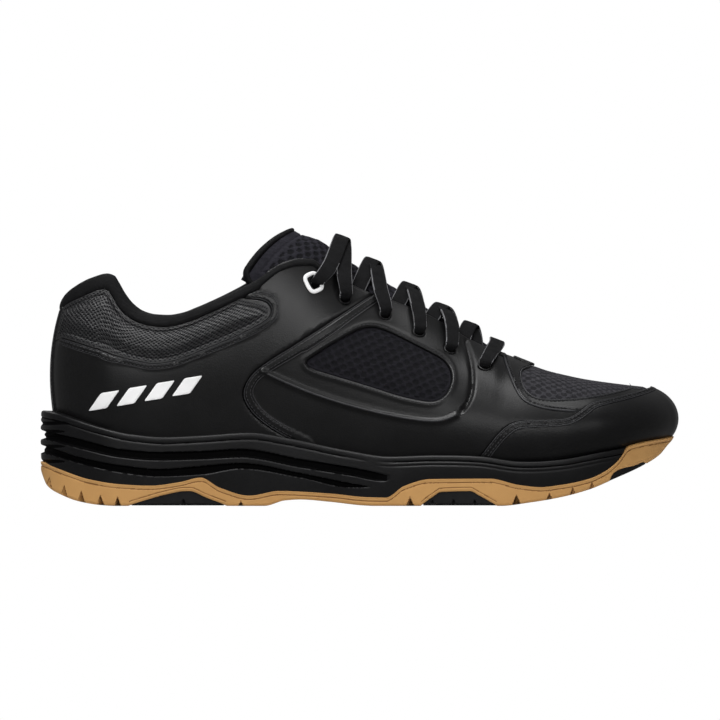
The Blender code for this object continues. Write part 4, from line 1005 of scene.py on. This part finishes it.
def midsole_rows(side):
    s = shares(COLUMNS)
    inner = np.maximum(INSET(s) + 1.4, 1.6)
    x = outline(s, side)[:, 0]
    low = wall_height(x, s) - 0.4
    top = rim_height(x, s) + MIDSOLE_RISE
    band = np.maximum(top - low, 0.02)
    thin = np.interp(band, [1.0, 3.0], [0.0, 1.0])
    rows = [np.column_stack([ring_at(s, side, 3.0), low])]
    for q in shares(90):
        z = low + band * q
        edge = np.minimum(band * (1 - q), 1.3) / 1.3
        tuck = 1.1 * (1 - np.sqrt(clamp(1 - (1 - edge) ** 2)))
        bulge = 0.35 * math.sin(math.pi * q) * thin
        inset = 0.15 + tuck - bulge - midsole_relief(x, z, top) * clamp(band / 5) + (1 - thin)
        rows.append(np.column_stack([ring_at(s, side, inset), z]))
    for q in (0.3, 0.7, 1.0):
        rows.append(np.column_stack([ring_at(s, side, 1.25 + (inner - 1.25) * q), top - 0.25 * q]))
    return rows + [np.column_stack([ring_at(s, side, inner + 0.4), top - 3])]


def face_data(obj):
    """Centres and normals of the faces, and the s of each centre."""
    c = np.array([tuple(f.center) for f in obj.data.polygons]) / MM
    n = np.array([tuple(f.normal) for f in obj.data.polygons])
    return c, n, np.interp(c[:, 0], outline(shares(400), -1)[:, 0], shares(400))


midsole = two_sided("midsole_cover", midsole_rows, 1, FOAM_BLACK, ("midsole_heel", "midsole_forefoot"))
c, _, s = face_data(midsole)
cut = midsole_relief(c[:, 0], c[:, 2], rim_height(c[:, 0], s) + MIDSOLE_RISE)
# Painted shade: faces more than 0.3 mm down in the grooves and lines get the darker foam.
darken(midsole, GROOVE_SHADE, cut < -0.30)
HEEL_ARCH = smooth([(-109, 0), (-100, 2.8), (-91.7, 5.1), (-82, 6.8), (-80, 6.8), (-72.9, 4.0),
                     (-62.5, 0)])
BALL_ARCH = smooth([(28.5, 0), (35.3, 4.9), (37.6, 6.3), (51.7, 6.8), (56.4, 4.5), (64.5, 0)])
TOE_ARCH = smooth([(114, 9), (117, 11.5), (119, 15), (122, 17), (126, 18.1), (130, 19.1), (133, 20.4),
                    (135, 20), (137, 20)])
NOTCHES = [(-146, 4.8, 1.3), (-139, 5, 1.4), (-131, 5, 1.5), (-122, 4.6, 1.5), (-114, 4.2, 1.4),
           (-56, 2.2, 1.0), (23.5, 4.0, 1.7), (73.5, 4.4, 1.8), (89, 3, 1.1), (100, 3.2, 1.1),
           (109, 3, 1.1)]
INSERT_NOTCHES = [(-83, 3.4, 1.6), (34, 3.2, 1.2), (44, 3.4, 1.3), (54, 3.2, 1.2)]


def arch(x):
    h = np.where((x > -109) & (x < -62.5), HEEL_ARCH(x), 0)
    return np.where((x > 28.5) & (x < 64.5), BALL_ARCH(x), h)


def notch(x, marks):
    h = np.zeros_like(x)
    for centre, tall, half in marks:
        h = np.maximum(h, tall * clamp(1 - np.abs(x - centre) / half) ** 0.8)
    return h


def under_height(x, inset=0.0):
    """Underside of the gum; the toe arch is deeper inside the edge, under its insert."""
    deeper = 2.5 * clamp((inset - 1.6) / 2) * clamp(np.minimum(x - 117, 134 - x) / 1.5)
    toe = np.where((x > 115) & (x < 136.5), TOE_ARCH(x) + deeper, 0)
    return np.maximum(GUM_BOTTOM(x) + arch(x), toe)


def tread(x, y, inset):
    """Depth of a zigzag tread, kept clear of the edge."""
    zig = np.abs(np.mod(y / 9.0, 2) - 1) * 6
    groove = clamp(1 - np.abs(np.mod(x + zig, 7.0) - 3.5) / 1.1)
    return 1.1 * np.minimum(groove * 1.6, 1) * clamp((inset - 6) / 1.2)


def gum_tread(xy, inset):
    """The tread of the gum, left off under the toe insert."""
    return tread(xy[:, 0], xy[:, 1], inset) * (np.abs(xy[:, 0] - 125.7) > 10)


MIDDLE_INSET = 12.0
LINE_DROP = 1.9


def outsole_rows(side):
    s = np.unique(np.concatenate([shares(COLUMNS), np.linspace(0, 0.12, 160)]))
    x = outline(s, side)[:, 0]
    top = wall_height(x, s)
    rise = notch(x, NOTCHES)
    base = np.minimum(under_height(x) + np.maximum(rise, 1.2), top - 0.5)
    rows = []
    for inset, drop in ((2.9, 0.1), (1.1, 0.0), (0.35, -0.05)):
        rows.append(np.column_stack([ring_at(s, side, inset), top - drop]))
    for q in shares(26):
        z = (top - 0.35) + (base - top + 0.35) * q
        line = 0.35 * bell(top - z - LINE_DROP, 0.32)
        line += 0.30 * bell(z - under_height(x) - LINE_DROP, 0.30) * (arch(x) > 0.2)
        rows.append(np.column_stack([ring_at(s, side, line - 0.25 * clamp(1 - q * 8)), z]))
    for inset in (0.25, 0.7, 1.6, 2.6, 4, 5.5, 7, 8.5, 10, MIDDLE_INSET):
        xy = ring_at(s, side, inset)
        round_off = 1.2 * (1 - math.sqrt(max(0, 1 - (1 - min(inset / 1.7, 1)) ** 2)))
        z = (under_height(xy[:, 0], inset) + np.maximum(round_off, rise * clamp((9 - inset) / 3))
             + gum_tread(xy, inset))
        rows.append(np.column_stack([xy, np.minimum(z, top - 0.3)]))
    edge = ring_at(s, side, MIDDLE_INSET)
    for q in shares(42)[1:]:
        xy = edge + (spine_line(s, MIDDLE_INSET) - edge) * q
        z = under_height(xy[:, 0], MIDDLE_INSET) + gum_tread(xy, MIDDLE_INSET)
        rows.append(np.column_stack([xy, z]))
    return rows


outsole = two_sided("outsole_cover", outsole_rows, -1, GUM, ("outsole_heel", "outsole_forefoot"))
c, n, s = face_data(outsole)
height = c[:, 2] - under_height(c[:, 0])
step = notch(c[:, 0], NOTCHES)
# Painted shade: the gum's grooved lines and the edges at the top of its notches get the dark brown.
painted_shade_lines = np.abs(wall_height(c[:, 0], s) - c[:, 2] - LINE_DROP) < 0.24
painted_shade_lines |= (np.abs(height - LINE_DROP) < 0.22) & (arch(c[:, 0]) > 0.2)
darken(outsole, GUM_GROOVE_SHADE, (painted_shade_lines & (np.abs(n[:, 2]) < 0.75)) |
       ((step > 0.3) & (np.abs(height - step) < 0.5)))


def insert_cover(name, x0, x1, low, target, flex, s_end, insets):
    """Black rubber filling an arch, with its own notches along the lower edge."""
    x = np.linspace(x0, x1, int((x1 - x0) / 0.4))
    s_grid = np.linspace(0, s_end, 2000)

    def insert_rows(side):
        s = np.interp(x, outline(s_grid, side)[:, 0], s_grid)
        edge = ring_at(s, side, 0.9)
        xi = edge[:, 0]
        top = under_height(xi) + 0.5
        base = np.minimum(GUM_BOTTOM(xi) + low + np.maximum(notch(xi, INSERT_NOTCHES), 0.9), top - 0.1)
        rows = [np.column_stack([edge, top + (base - top) * q]) for q in shares(12)]
        for inset in insets:
            xy = ring_at(s, side, inset)
            xi = xy[:, 0]
            cut = notch(xi, INSERT_NOTCHES) * clamp((9 - inset) / 3)
            lift = np.maximum(cut, 0.9 * max(0, 1 - inset / 2)) + tread(xi, xy[:, 1], inset) * 0.8
            rows.append(np.column_stack([xy, np.minimum(GUM_BOTTOM(xi) + low + lift,
                                                        under_height(xi, inset) + 0.4)]))
        far = rows[-1]
        middle = np.column_stack([x, SPINE_Y(x), far[:, 2]])
        for q in shares(20)[1:]:
            p = far + (middle - far) * q
            p[:, 2] = np.minimum(GUM_BOTTOM(p[:, 0]) + low + tread(p[:, 0], p[:, 1], 12) * 0.8,
                                 under_height(p[:, 0], 12) + 0.4)
            rows.append(p)
        return rows

    two_sided(name, insert_rows, -1, RUBBER_BLACK, (target,), flex=flex)


WIDE_INSETS = (1.2, 1.9, 3.5, 5, 6.5, 8, 10, 13)
insert_cover("heel_insert_cover", -107.5, -64, 0.2, "outsole_insert_heel", False, 1, WIDE_INSETS)
insert_cover("ball_insert_cover", 29.5, 63.5, 0.2, "outsole_insert_forefoot", True, 1, WIDE_INSETS)
insert_cover("toe_insert_cover", 117.2, 134.2, 0.1, "outsole_insert_toe", True, 0.97,
             (1.2, 1.9, 2.6, 3.3))

# ---------------------------------------------------------------- tongue

TONGUE_LINE = [(73, 60.5), (66, 67), (57, 74.5), (45, 82), (28.7, 91.5), (15, 100.3), (-1.4, 109.5),
               (-19.7, 122.3), (-28.2, 128), (-33.4, 131.6)]
TONGUE_T = np.concatenate([[0], np.cumsum([math.dist(a, b) for a, b in
                                           zip(TONGUE_LINE, TONGUE_LINE[1:])])])
TONGUE_T /= TONGUE_T[-1]
LINE_X = smooth([(t, p[0]) for t, p in zip(TONGUE_T, TONGUE_LINE)])
LINE_Z = smooth([(t, p[1]) for t, p in zip(TONGUE_T, TONGUE_LINE)])
TONGUE_HALF = smooth([(0, 13), (0.1, 16), (0.25, 19.5), (0.5, 20.5), (0.75, 19.8), (0.9, 18.6),
                      (1, 17.5)])
TONGUE_SAG = smooth([(0, 28), (0.2, 34), (0.4, 38), (0.7, 41), (0.85, 44), (1, 48)])
TONGUE_TURN = math.radians(76)


def tongue(t, u, depth=0.0):
    """Points on the tongue's outer face, or a depth below it, for arrays of t, u and depth."""
    t, u, depth = np.broadcast_arrays(np.asarray(t, float), u, depth)
    a = clamp(t - 1e-3)
    b = clamp(t + 1e-3)
    rx = LINE_X(b) - LINE_X(a)
    rz = LINE_Z(b) - LINE_Z(a)
    size = np.hypot(rx, rz)
    flip = np.where(-rx / size > 0, 1, -1)
    ux = rz / size * flip
    uz = -rx / size * flip
    half = TONGUE_HALF(t)
    sag = TONGUE_SAG(t)
    turn = u * TONGUE_TURN
    ny = sag * np.sin(turn)
    nu = half * np.cos(turn)
    size = np.hypot(ny, nu)
    lift = -sag * (1 - np.cos(turn)) - depth * (nu / size)
    reach = 7.0 * np.sin(np.pi * clamp(np.abs(u)) * 0.62) ** 2 * clamp((t - 0.55) / 0.45) ** 2
    return np.stack([LINE_X(t) + ux * lift - 0.80 * reach, half * np.sin(turn) - depth * (ny / size),
                     LINE_Z(t) + uz * lift + 0.60 * reach], -1)


def tongue_back(t):
    """Thickness of the tongue down to its back, in mm."""
    return np.interp(t, [0, 0.15, 0.6, 1], [2.6, 3.6, 5.2, 5.6]) + 1.0


# The mesh face ends at these t and u, and the millimetres that t and u stand for.
FACE_T = 0.972
FACE_U = 0.93
T_LENGTH = 132
U_LENGTH = 30


def tongue_rim(t, u):
    return np.minimum((1 - np.abs(u) / FACE_U) * 28, (FACE_T - t) * 128)


def tongue_face():
    t, u = np.meshgrid(np.linspace(0, FACE_T, 260), np.linspace(-FACE_U, FACE_U, 170), indexing="ij")
    rim = tongue_rim(t, u)
    dots = cells(t * T_LENGTH, u * U_LENGTH, TONGUE_PITCH, 0.55) * fade(rim - 4.2, 1.0)
    lift = (3.0 * fade(rim, 14) - 0.3 + dots - 0.5 * bell(rim - 3.4, 0.5)) * clamp(t * 8)
    obj = grid_object("tongue_mesh_cover", [(tongue(t, u, -lift), True)], TONGUE_MESH)
    t = (t[:-1, :-1] + t[1:, 1:]) / 2
    u = (u[:-1, :-1] + u[1:, 1:]) / 2
    hollow = cell_distance(t * T_LENGTH, u * U_LENGTH, TONGUE_PITCH) < 0.30
    darken(obj, MESH_DARK, hollow & (tongue_rim(t, u) > 4.8))
    attach(obj, "tongue")
    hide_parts("tongue_face")


def tube(name, centre, along_x, along_y, count, material, **more):
    """A closed tube about a path: along_x and along_y give its half-widths for a cosine and sine."""
    turns = np.arange(count) * 2 * math.pi / count
    g = np.stack([centre + along_x(math.cos(a)) + along_y(math.sin(a)) for a in turns], 1)
    return grid_object(name, [(g, False)], material, closed=True, **more)


def tongue_roll():
    """Rolled binding up both sides of the tongue and over its top."""
    corner = [(0.93 + 0.052 * math.sin(a), -0.955 + 0.10 * (1 - math.cos(a)))
              for a in np.linspace(0, math.pi / 2, 12)[1:]]
    path = ([(q, -0.955) for q in np.linspace(0.04, 0.93, 60)] + corner +
            [(0.982, w) for w in np.linspace(-0.855, 0.855, 60)[1:-1]] +
            [(a, -b) for a, b in corner[::-1]] + [(q, 0.955) for q in np.linspace(0.93, 0.04, 60)])
    t, u = np.array(path).T
    deep = tongue_back(t) + 0.1
    centre = tongue(t, u, deep / 2)
    run = units(np.gradient(centre, axis=0))
    n = units(tongue(t, u, -1.0) - tongue(t, u, 0.0))
    n = units(n - run * (n * run).sum(1)[:, None])
    b = np.cross(run, n)
    roll = tube("tongue_roll", centre, lambda c: n * c * (deep / 2 + 0.35)[:, None],
                lambda sn: b * sn * 1.9, 16, BINDING)
    attach(roll, "tongue")
    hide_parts("tongue_binding")


def tongue_pad():
    """Back of the tongue, blown up between its border and two lines of stitching."""
    t, u = np.meshgrid(np.linspace(0, 0.985, 90), np.linspace(-0.95, 0.95, 60), indexing="ij")
    back = tongue(t, u, tongue_back(t) + 0.7 * np.cos(u * 1.6) * clamp(t * 5))
    held = border(t.shape, 2, 2, 2, 2)
    held[:62, [20, 39]] = True
    back = swell(back, held, pressure=40.0, stiff=1.0, cap=1.6)
    obj = grid_object("tongue_back_cover", [(back, False)], LINER)
    attach(obj, "tongue")
    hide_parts("tongue_lining", "tongue_foam")


tongue_face()
tongue_roll()
tongue_pad()

# ---------------------------------------------------------------- lace

# Heights of the lace over the upper, and under it where it passes inside.
OVER = 3.0
UNDER = PANEL + GAP + 1.2 + GAP + LINING + GAP + 1.3
# Rises of the crossings over the tongue, from the top pair of eyelets to the lowest.
RISES = (6.5, 5.0, 4.0, 3.6, 3.2)
LACE_BED = 2.7
LACE_CROSS = 2.1


def upper_point(sv, side, height):
    return at(*sv, side, height)


def upper_normal(sv, side):
    return units(upper_point(sv, side, 1) - upper_point(sv, side, 0))


LINE_TS = shares(60)


def strand(k, side, rise):
    """Control rows of one strand, from eyelet k across to eyelet k - 1 on the other side."""
    sv = SPOTS[k]
    to = SPOTS[k - 1]
    a = upper_point(sv, side, 0)
    na = upper_normal(sv, side)
    b = upper_point(to, -side, 0)
    nb = upper_normal(to, -side)
    begin = -UNDER if k == 5 else OVER
    end = OVER if k == 1 else -UNDER
    ea = upper_point((sv[0] + (to[0] - sv[0]) * 0.25, 1.0), side, begin)
    eb = upper_point((to[0] + (sv[0] - to[0]) * 0.25, 1.0), -side, end)
    out = units(ea - a)
    wa = units(np.cross(na, out))
    home = units(eb - b)
    wb = units(np.cross(home, nb))
    middle = (ea + eb) / 2
    t = float(np.interp(-middle[0], -LINE_X(LINE_TS), LINE_TS))
    lift = RISES[k - 1]
    middle = np.array([middle[0] + lift * 0.45, 0.0,
                       max(middle[2] + 0.5, tongue(t, 0, -rise)[2]) + lift])
    across = units(np.cross(np.array([0.35, 0, 0.94]), units(eb - ea)))
    return [(a - na * 1.6, wa, LACE_BUNCH), (a + na * begin + out * 1.6, wa, LACE_WIDTH - 1),
            (ea, units(wa + across), LACE_WIDTH), (middle, across, LACE_WIDTH),
            (eb, units(wb + across), LACE_WIDTH), (b + nb * end + home * 1.6, wb, LACE_WIDTH - 1)]


def inside_end(side):
    """Control rows of a tucked end, from the top eyelet down inside the opening."""
    a = upper_point(SPOTS[0], side, 0)
    na = upper_normal(SPOTS[0], side)
    down = units(upper_point((SPOTS[0][0], SPOTS[0][1] - 0.1), side, 0) - a)
    w = units(np.cross(na, down))
    rows = [(a - na * 1.6, w, LACE_BUNCH), (a - na * (UNDER + 0.8) + down * 2.4, w, LACE_WIDTH - 1)]
    for x, z, extra in ((-24, 92, 1.3), (-29, 80, 1.1), (-34, 68, 1.3), (-38, 58, 1.8)):
        sv = place(x, z)
        p = upper_point(sv, side, -(pad_depth(*sv) + LINING + 2 * GAP + 0.8 + extra))
        run = units(p - rows[-1][0])
        rows.append((p, units(np.cross(upper_normal(sv, side), run)), LACE_WIDTH - 0.6))
    return rows


def bar_rows():
    """Control rows of the straight bar over the lowest pair of eyelets."""
    ends = []
    for side in (1, -1):
        a = upper_point(SPOTS[5], side, 0)
        n = upper_normal(SPOTS[5], side)
        edge = upper_point((SPOTS[5][0] + 0.004, 0.98), side, OVER)
        out = units(edge - a)
        w = units(np.cross(n, out)) * side
        ends.append([(a + n * OVER + out * 1.6, w, LACE_WIDTH - 1), (edge, w, LACE_WIDTH)])
    top = (ends[0][1][0] + ends[1][1][0]) / 2 + np.array([0.4, 0, 2.2])
    across = units(ends[0][1][1] + ends[1][1][1])
    return ends[0] + [(top, across, LACE_WIDTH)] + ends[1][::-1]


def lace_rows():
    rise = {-1: LACE_BED, 1: LACE_BED + LACE_CROSS}
    rows = inside_end(-1)[::-1]
    for k in (1, 2, 3, 4, 5):
        side = 1 if k % 2 else -1
        rows += strand(k, side, rise[side])[::-1]
    rows += bar_rows()
    for k in (5, 4, 3, 2, 1):
        side = -1 if k % 2 else 1
        rows += strand(k, side, rise[side])
    return rows + inside_end(1)


def swept_path(rows, spacing=0.55):
    """Dense points, width directions and widths along a smooth curve through the control rows."""
    p = np.array([r[0] for r in rows])
    w = np.array([r[1] for r in rows])
    for i in range(1, len(w)):
        if w[i].dot(w[i - 1]) < 0:
            w[i] = -w[i]
    size = np.array([r[2] for r in rows], float)
    knots = np.concatenate([[0], np.cumsum(np.sqrt(np.linalg.norm(np.diff(p, axis=0), axis=1)))])
    points, widths, sizes = [], [], []
    for i in range(len(p) - 1):
        here = knots[i + 1] - knots[i]
        m0 = (p[i + 1] - p[max(i - 1, 0)]) / (knots[i + 1] - knots[max(i - 1, 0)]) * here
        j = min(i + 2, len(p) - 1)
        m1 = (p[j] - p[i]) / (knots[j] - knots[i]) * here
        steps = max(3, int(np.linalg.norm(p[i + 1] - p[i]) / spacing))
        for q in range(steps):
            u = q / steps
            h = (2 * u ** 3 - 3 * u ** 2 + 1, u ** 3 - 2 * u ** 2 + u,
                 -2 * u ** 3 + 3 * u ** 2, u ** 3 - u ** 2)
            points.append(h[0] * p[i] + h[1] * m0 + h[2] * p[i + 1] + h[3] * m1)
            blend = u * u * (3 - 2 * u)
            widths.append(w[i] * (1 - blend) + w[i + 1] * blend)
            sizes.append(size[i] * (1 - blend) + size[i + 1] * blend)
    return np.array(points), np.array(widths), np.array(sizes)


def lace_cover():
    points, widths, sizes = swept_path(lace_rows())
    sizes = sizes * np.interp(sizes, [LACE_BUNCH, LACE_WIDTH], [1.15, 1.16])
    run = units(np.gradient(points, axis=0))
    side = units(widths - run * (widths * run).sum(1)[:, None])
    up = np.cross(run, side)
    length = np.concatenate([[0], np.cumsum(np.linalg.norm(np.diff(points, axis=0), axis=1))])
    count = 20
    verts = np.empty((len(points), count, 3))
    for k in range(count):
        a = k * 2 * math.pi / count
        c, sn = math.cos(a), math.sin(a)
        across = np.sign(c) * abs(c) ** 0.55
        lift = np.sign(sn) * abs(sn) ** 0.55
        weave = 0.10 * np.sin(length * 2 * math.pi / 1.1 + abs(across) * 5)
        edge = 1 + 0.25 * max(0, abs(across) - 0.86) / 0.14
        thick = 0.62 * edge + weave * (abs(across) < 0.9)
        verts[:, k] = points + side * (sizes / 2 * across)[:, None] + up * (thick * lift)[:, None]
    obj = grid_object("lace_cover", [(verts, False)], LACE_CLOTH, closed=True, join=1e-6)
    tree = KDTree(len(points))
    for i, q in enumerate(points):
        tree.insert(q, i)
    tree.balance()
    centres = face_data(obj)[0]
    near = np.array([tree.find(c)[1] for c in centres])
    off = np.abs(((centres - points[near]) * side[near]).sum(1))
    # Painted highlight: the outer part of each edge of the lace gets the light grey.
    darken(obj, LACE_EDGE_HIGHLIGHT, off > sizes[near] / 2 * 0.93)
    attach(obj)
    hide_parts("lace")


lace_cover()


def punched_edge(name, centre, axis, r=2.75, minor=0.35):
    """Turned edge of an eyelet hole."""
    x = units(np.cross(axis, np.array([0.3, 0.8, 0.52])))
    turns = np.linspace(0, 2 * math.pi, 49)[:, None]
    out = x * np.cos(turns) + np.cross(axis, x) * np.sin(turns)
    return tube(name, centre + out * r, lambda c: out * minor * c, lambda sn: axis * minor * sn, 14,
                SYNTH_REAR)


def webbing_loop(name, sv, side):
    """A rounded-rectangle loop of white webbing round the top eyelet, lying on the upper."""
    e = 1e-3
    o = upper_point((sv[0] - 0.0035, sv[1] - 0.008), side, 0)
    n = upper_normal(sv, side)
    fore = units(upper_point((sv[0] + e, sv[1]), side, 0) - upper_point((sv[0] - e, sv[1]), side, 0))
    up = units(np.cross(n, fore)) * (-side)
    up = up if up[2] > 0 else -up
    lean = math.radians(-32)
    a = fore * math.cos(lean) + up * math.sin(lean)
    b = -fore * math.sin(lean) + up * math.cos(lean)
    turns = np.linspace(0, 2 * math.pi, 65)[:, None]
    c, sn = np.cos(turns), np.sin(turns)
    centre = (o + a * 4.3 * np.sign(c) * np.abs(c) ** 0.6 + b * 3.3 * np.sign(sn) * np.abs(sn) ** 0.6
              + n * 0.8)
    out = units(a * c / 4.3 + b * sn / 3.3)
    return tube(name, centre, lambda x: out * x, lambda y: n * 0.6 * y, 14, WHITE)


def repaint(name, material):
    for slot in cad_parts[name].material_slots:
        slot.material = material


for side, word in ((-1, "lateral"), (1, "medial")):
    loop_ring = webbing_loop("top_loop_" + word, SPOTS[0], side)
    attach(loop_ring)
    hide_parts("top_eyelet_ring_" + word)
    for k in range(1, 6):
        axis = upper_normal(SPOTS[k], side)
        attach(punched_edge("punched_edge_%s_%d" % (word, k),
                            upper_point(SPOTS[k], side, 0) + axis * 0.25, axis))
    repaint("aglet_" + word, WHITE)
    repaint("eyelet_backing_" + word, LINER)
for name in ("heel_counter", "toe_puff"):
    repaint(name, BOARD)

# ---------------------------------------------------------------- stitching and piping


def arc_points(line_sv, offset=0.0):
    """Evenly spaced dense points of an outline, moved sideways by an offset in mm."""
    p = np.array(line_sv, float) * FLAT
    d = np.concatenate([[0], np.cumsum(np.hypot(*np.diff(p, axis=0).T))])
    q = np.arange(0, d[-1], 0.4)
    p = np.column_stack([np.interp(q, d, p[:, 0]), np.interp(q, d, p[:, 1])])
    t = units(np.gradient(p, axis=0))
    p = p + np.column_stack([-t[:, 1], t[:, 0]]) * offset
    return p[((p > 0) & (p < FLAT)).all(1)] / FLAT


def raised(sv, side, height):
    """Points at a height, which may be a number or a relief and a height above it."""
    s, v = sv.T
    if isinstance(height, tuple):
        height = height[0](at(s, v, side), s, v, 0) + height[1]
    return at(s, v, side, np.zeros(len(sv)) + height)


def stitches(name, jobs, flex=False, pitch=1.9, size=0.24):
    """Rows of raised threads on both sides: each job is an outline, an offset and a height."""
    verts = []
    faces = []
    for line, offset, height in jobs:
        sv = arc_points(line, offset)
        for side in BOTH:
            base = raised(sv, side, height)
            d = np.concatenate([[0], np.cumsum(np.linalg.norm(np.diff(base, axis=0), axis=1))])
            nrm = normals(*sv.T, side)
            for start in np.arange(0.4, d[-1] - pitch, pitch):
                at_d = np.linspace(start, start + pitch * 0.72, 5)
                c = np.column_stack([np.interp(at_d, d, base[:, k]) for k in range(3)])
                n = np.column_stack([np.interp(at_d, d, nrm[:, k]) for k in range(3)])
                b = units(np.cross(units(c[-1] - c[0]), n[2]))
                faces += grid_faces(5, 6, True, False, len(verts))
                for i in range(5):
                    w = size * math.sin(math.pi * (i + 0.35) / 4.7) ** 0.5
                    for a in np.arange(6) * math.pi / 3:
                        verts.append(c[i] + b * w * math.cos(a) + n[i] * (w * 0.9 * math.sin(a)))
    attach(new_object(name, verts, faces, THREAD), flex=flex)


def piping(name, jobs):
    """Raised rounded beads, coloured a lighter grey as a painted highlight: each job is an outline, a
    sideways offset, a height and a radius.
    """
    grids = []
    for line, offset, height, radius in jobs:
        sv = arc_points(line, offset)[::2]
        count = np.arange(len(sv))
        taper = (radius * np.clip(np.minimum(count, count[::-1]) / 6, 0.15, 1))[:, None]
        for side in BOTH:
            base = raised(sv, side, height)
            nrm = normals(*sv.T, side)
            b = np.cross(units(np.gradient(base, axis=0)), nrm)
            grids.append((np.stack([base + b * taper * math.cos(a) + nrm * taper * 0.8 * math.sin(a)
                                    for a in np.arange(10) * math.pi / 5], 1), False))
    attach(grid_object(name, grids, PIPING_HIGHLIGHT, closed=True, join=1e-6), flex=True)


piping("seam_beads", [(SEAM_LOW, -0.45, (heel_relief, -0.10), 0.24),
                      (SEAM_LOW, -3.5, (heel_relief, -0.10), 0.24),
                      (SADDLE_LOW, 0.25, 0.42, 0.24), (below(SADDLE_SV, 0.97, 0.03), 4.2, 0.42, 0.22)])
piping("toe_beads", [(TOE_SV, -0.2, 0.70, 0.28), (TOE_SV, -3.75, 0.72, 0.24)])
piping("vamp_piping", [(below(VAMP_SV, 0.97) + [TOE_HIT], 0.0, 0.25, 0.62)])
piping("quarter_ridge", [(placed(EMBOSS)[1:], 0.0, 1.0, 0.42)])
piping("toe_mesh_edge", [(below(FRONT_SV, 0.97) + [MESH_HIT], 0.0, 0.05, 0.34)])
panel("vamp_tab", BOTH, [(0.691, 1.1), (0.697, 0.94), (0.712, 0.905), (0.732, 0.90), (0.742, 0.95),
                         (0.742, 1.1)], 0.9, 0.95, SYNTH, None, flex=True, joins=("ridge",), wall=1.2)
stitches("saddle_stitching", [(SADDLE_LOW, 1.2, 0.72), (SADDLE_LOW, 3.1, 0.72)])
stitches("collar_stitching", [(SEAM_LOW, -1.2, (heel_relief, -0.13)),
                              (SEAM_LOW, -2.7, (heel_relief, -0.13))])
stitches("stay_stitching", [([(STAY, 0.03), (STAY, 0.85)], 1.1, 0.45)])
stitches("toe_stitching", [(TOE_SV, -1.15, 0.78), (TOE_SV, -2.75, 0.78)], flex=True, size=0.30)
stitches("vamp_stitching", [(below(VAMP_SV, 0.97), 1.5, 0.62)], flex=True)
stitches("toe_mesh_stitching", [(below(FRONT_SV, 0.97), -1.0, 0.25)], flex=True)
stitches("window_stitching", [(WINDOW_SV + WINDOW_SV[:1], 1.2, 0.5)], flex=True)

# ---------------------------------------------------------------- plain bars on the heel quarter

BAR_CORNERS = [(-127.5, 44.6), (-114.5, 46.9), (-101.5, 49.2), (-88.5, 51.5)]
BAR = 8.5
BAR_LEAN = 6.0
BAR_RISE = BAR * 0.16


def heel_bars():
    parts = []
    for side in BOTH:
        for x, z in BAR_CORNERS:
            box = [(x, z), (x + BAR, z + BAR_RISE), (x + BAR + BAR_LEAN, z + BAR + BAR_RISE),
                   (x + BAR_LEAN, z + BAR)]
            dense = [(p[0] + (q[0] - p[0]) * k, p[1] + (q[1] - p[1]) * k)
                     for p, q in zip(box, box[1:] + box[:1]) for k in (0.06, 0.5, 0.94)]
            parts.append(patch(side, placed(dense), 1.0, 0.75, radius=0.35, wall=0.9,
                               edge_drop=0.25)[:2])
    attach(new_object("heel_bars", *merge(parts), WHITE, sharp=50))


heel_bars()

# ---------------------------------------------------------------- stage

bpy.ops.mesh.primitive_plane_add(size=4, location=(0, 0, -0.0004))
floor = bpy.context.object
floor.name = "floor"
floor.data.materials.append(principled("floor_paint", (0.86, 0.86, 0.86), 0.8)[0])
floor.visible_glossy = False
glow, _, shader = principled("backdrop_glow", (0, 0, 0), 0.5, 0.0)
shader.inputs["Emission Color"].default_value = (1, 1, 1, 1)
shader.inputs["Emission Strength"].default_value = 1.0
bpy.ops.mesh.primitive_uv_sphere_add(segments=48, ring_count=24, radius=2.9)
backdrop = bpy.context.object
backdrop.name = "backdrop"
backdrop.data.materials.append(glow)
for ray in ("diffuse", "glossy", "transmission", "shadow"):
    setattr(backdrop, "visible_" + ray, False)
bpy.context.scene.view_settings.view_transform = "Standard"

world = bpy.context.scene.world or bpy.data.worlds.new("studio")
bpy.context.scene.world = world
world.use_nodes = True
world.node_tree.nodes["Background"].inputs["Color"].default_value = (1, 1, 1, 1)
world.node_tree.nodes["Background"].inputs["Strength"].default_value = 0.17


def lamp(name, place_at, aim, size, power):
    data = bpy.data.lights.new(name, "AREA")
    data.shape = "RECTANGLE"
    data.size = size[0]
    data.size_y = size[1]
    data.energy = power
    obj = bpy.data.objects.new(name, data)
    obj.location = place_at
    obj.rotation_euler = (Vector(aim) - Vector(place_at)).to_track_quat("-Z", "Y").to_euler()
    bpy.context.collection.objects.link(obj)


lamp("key", (-0.35, -0.62, 1.3), (-0.03, 0, 0.06), (0.40, 0.30), 10)
lamp("front", (0.75, -0.9, 0.55), (0.05, 0, 0.05), (0.35, 0.35), 0.7)
lamp("top", (0.05, -0.1, 1.4), (0, 0, 0.05), (1.0, 0.7), 9)
lamp("sheen", (-0.15, -1.35, 0.60), (-0.02, 0, 0.05), (1.3, 0.26), 5.0)
lamp("back", (-0.3, 1.1, 1.0), (0, 0, 0.08), (0.6, 0.5), 2.0)

camera = bpy.data.cameras.new("camera")
camera.type = "ORTHO"
camera.ortho_scale = 0.3385
view = bpy.data.objects.new("camera", camera)
view.location = (0, -2, 0.0686)
view.rotation_euler = (math.pi / 2, 0, 0)
bpy.context.collection.objects.link(view)
bpy.context.scene.camera = view
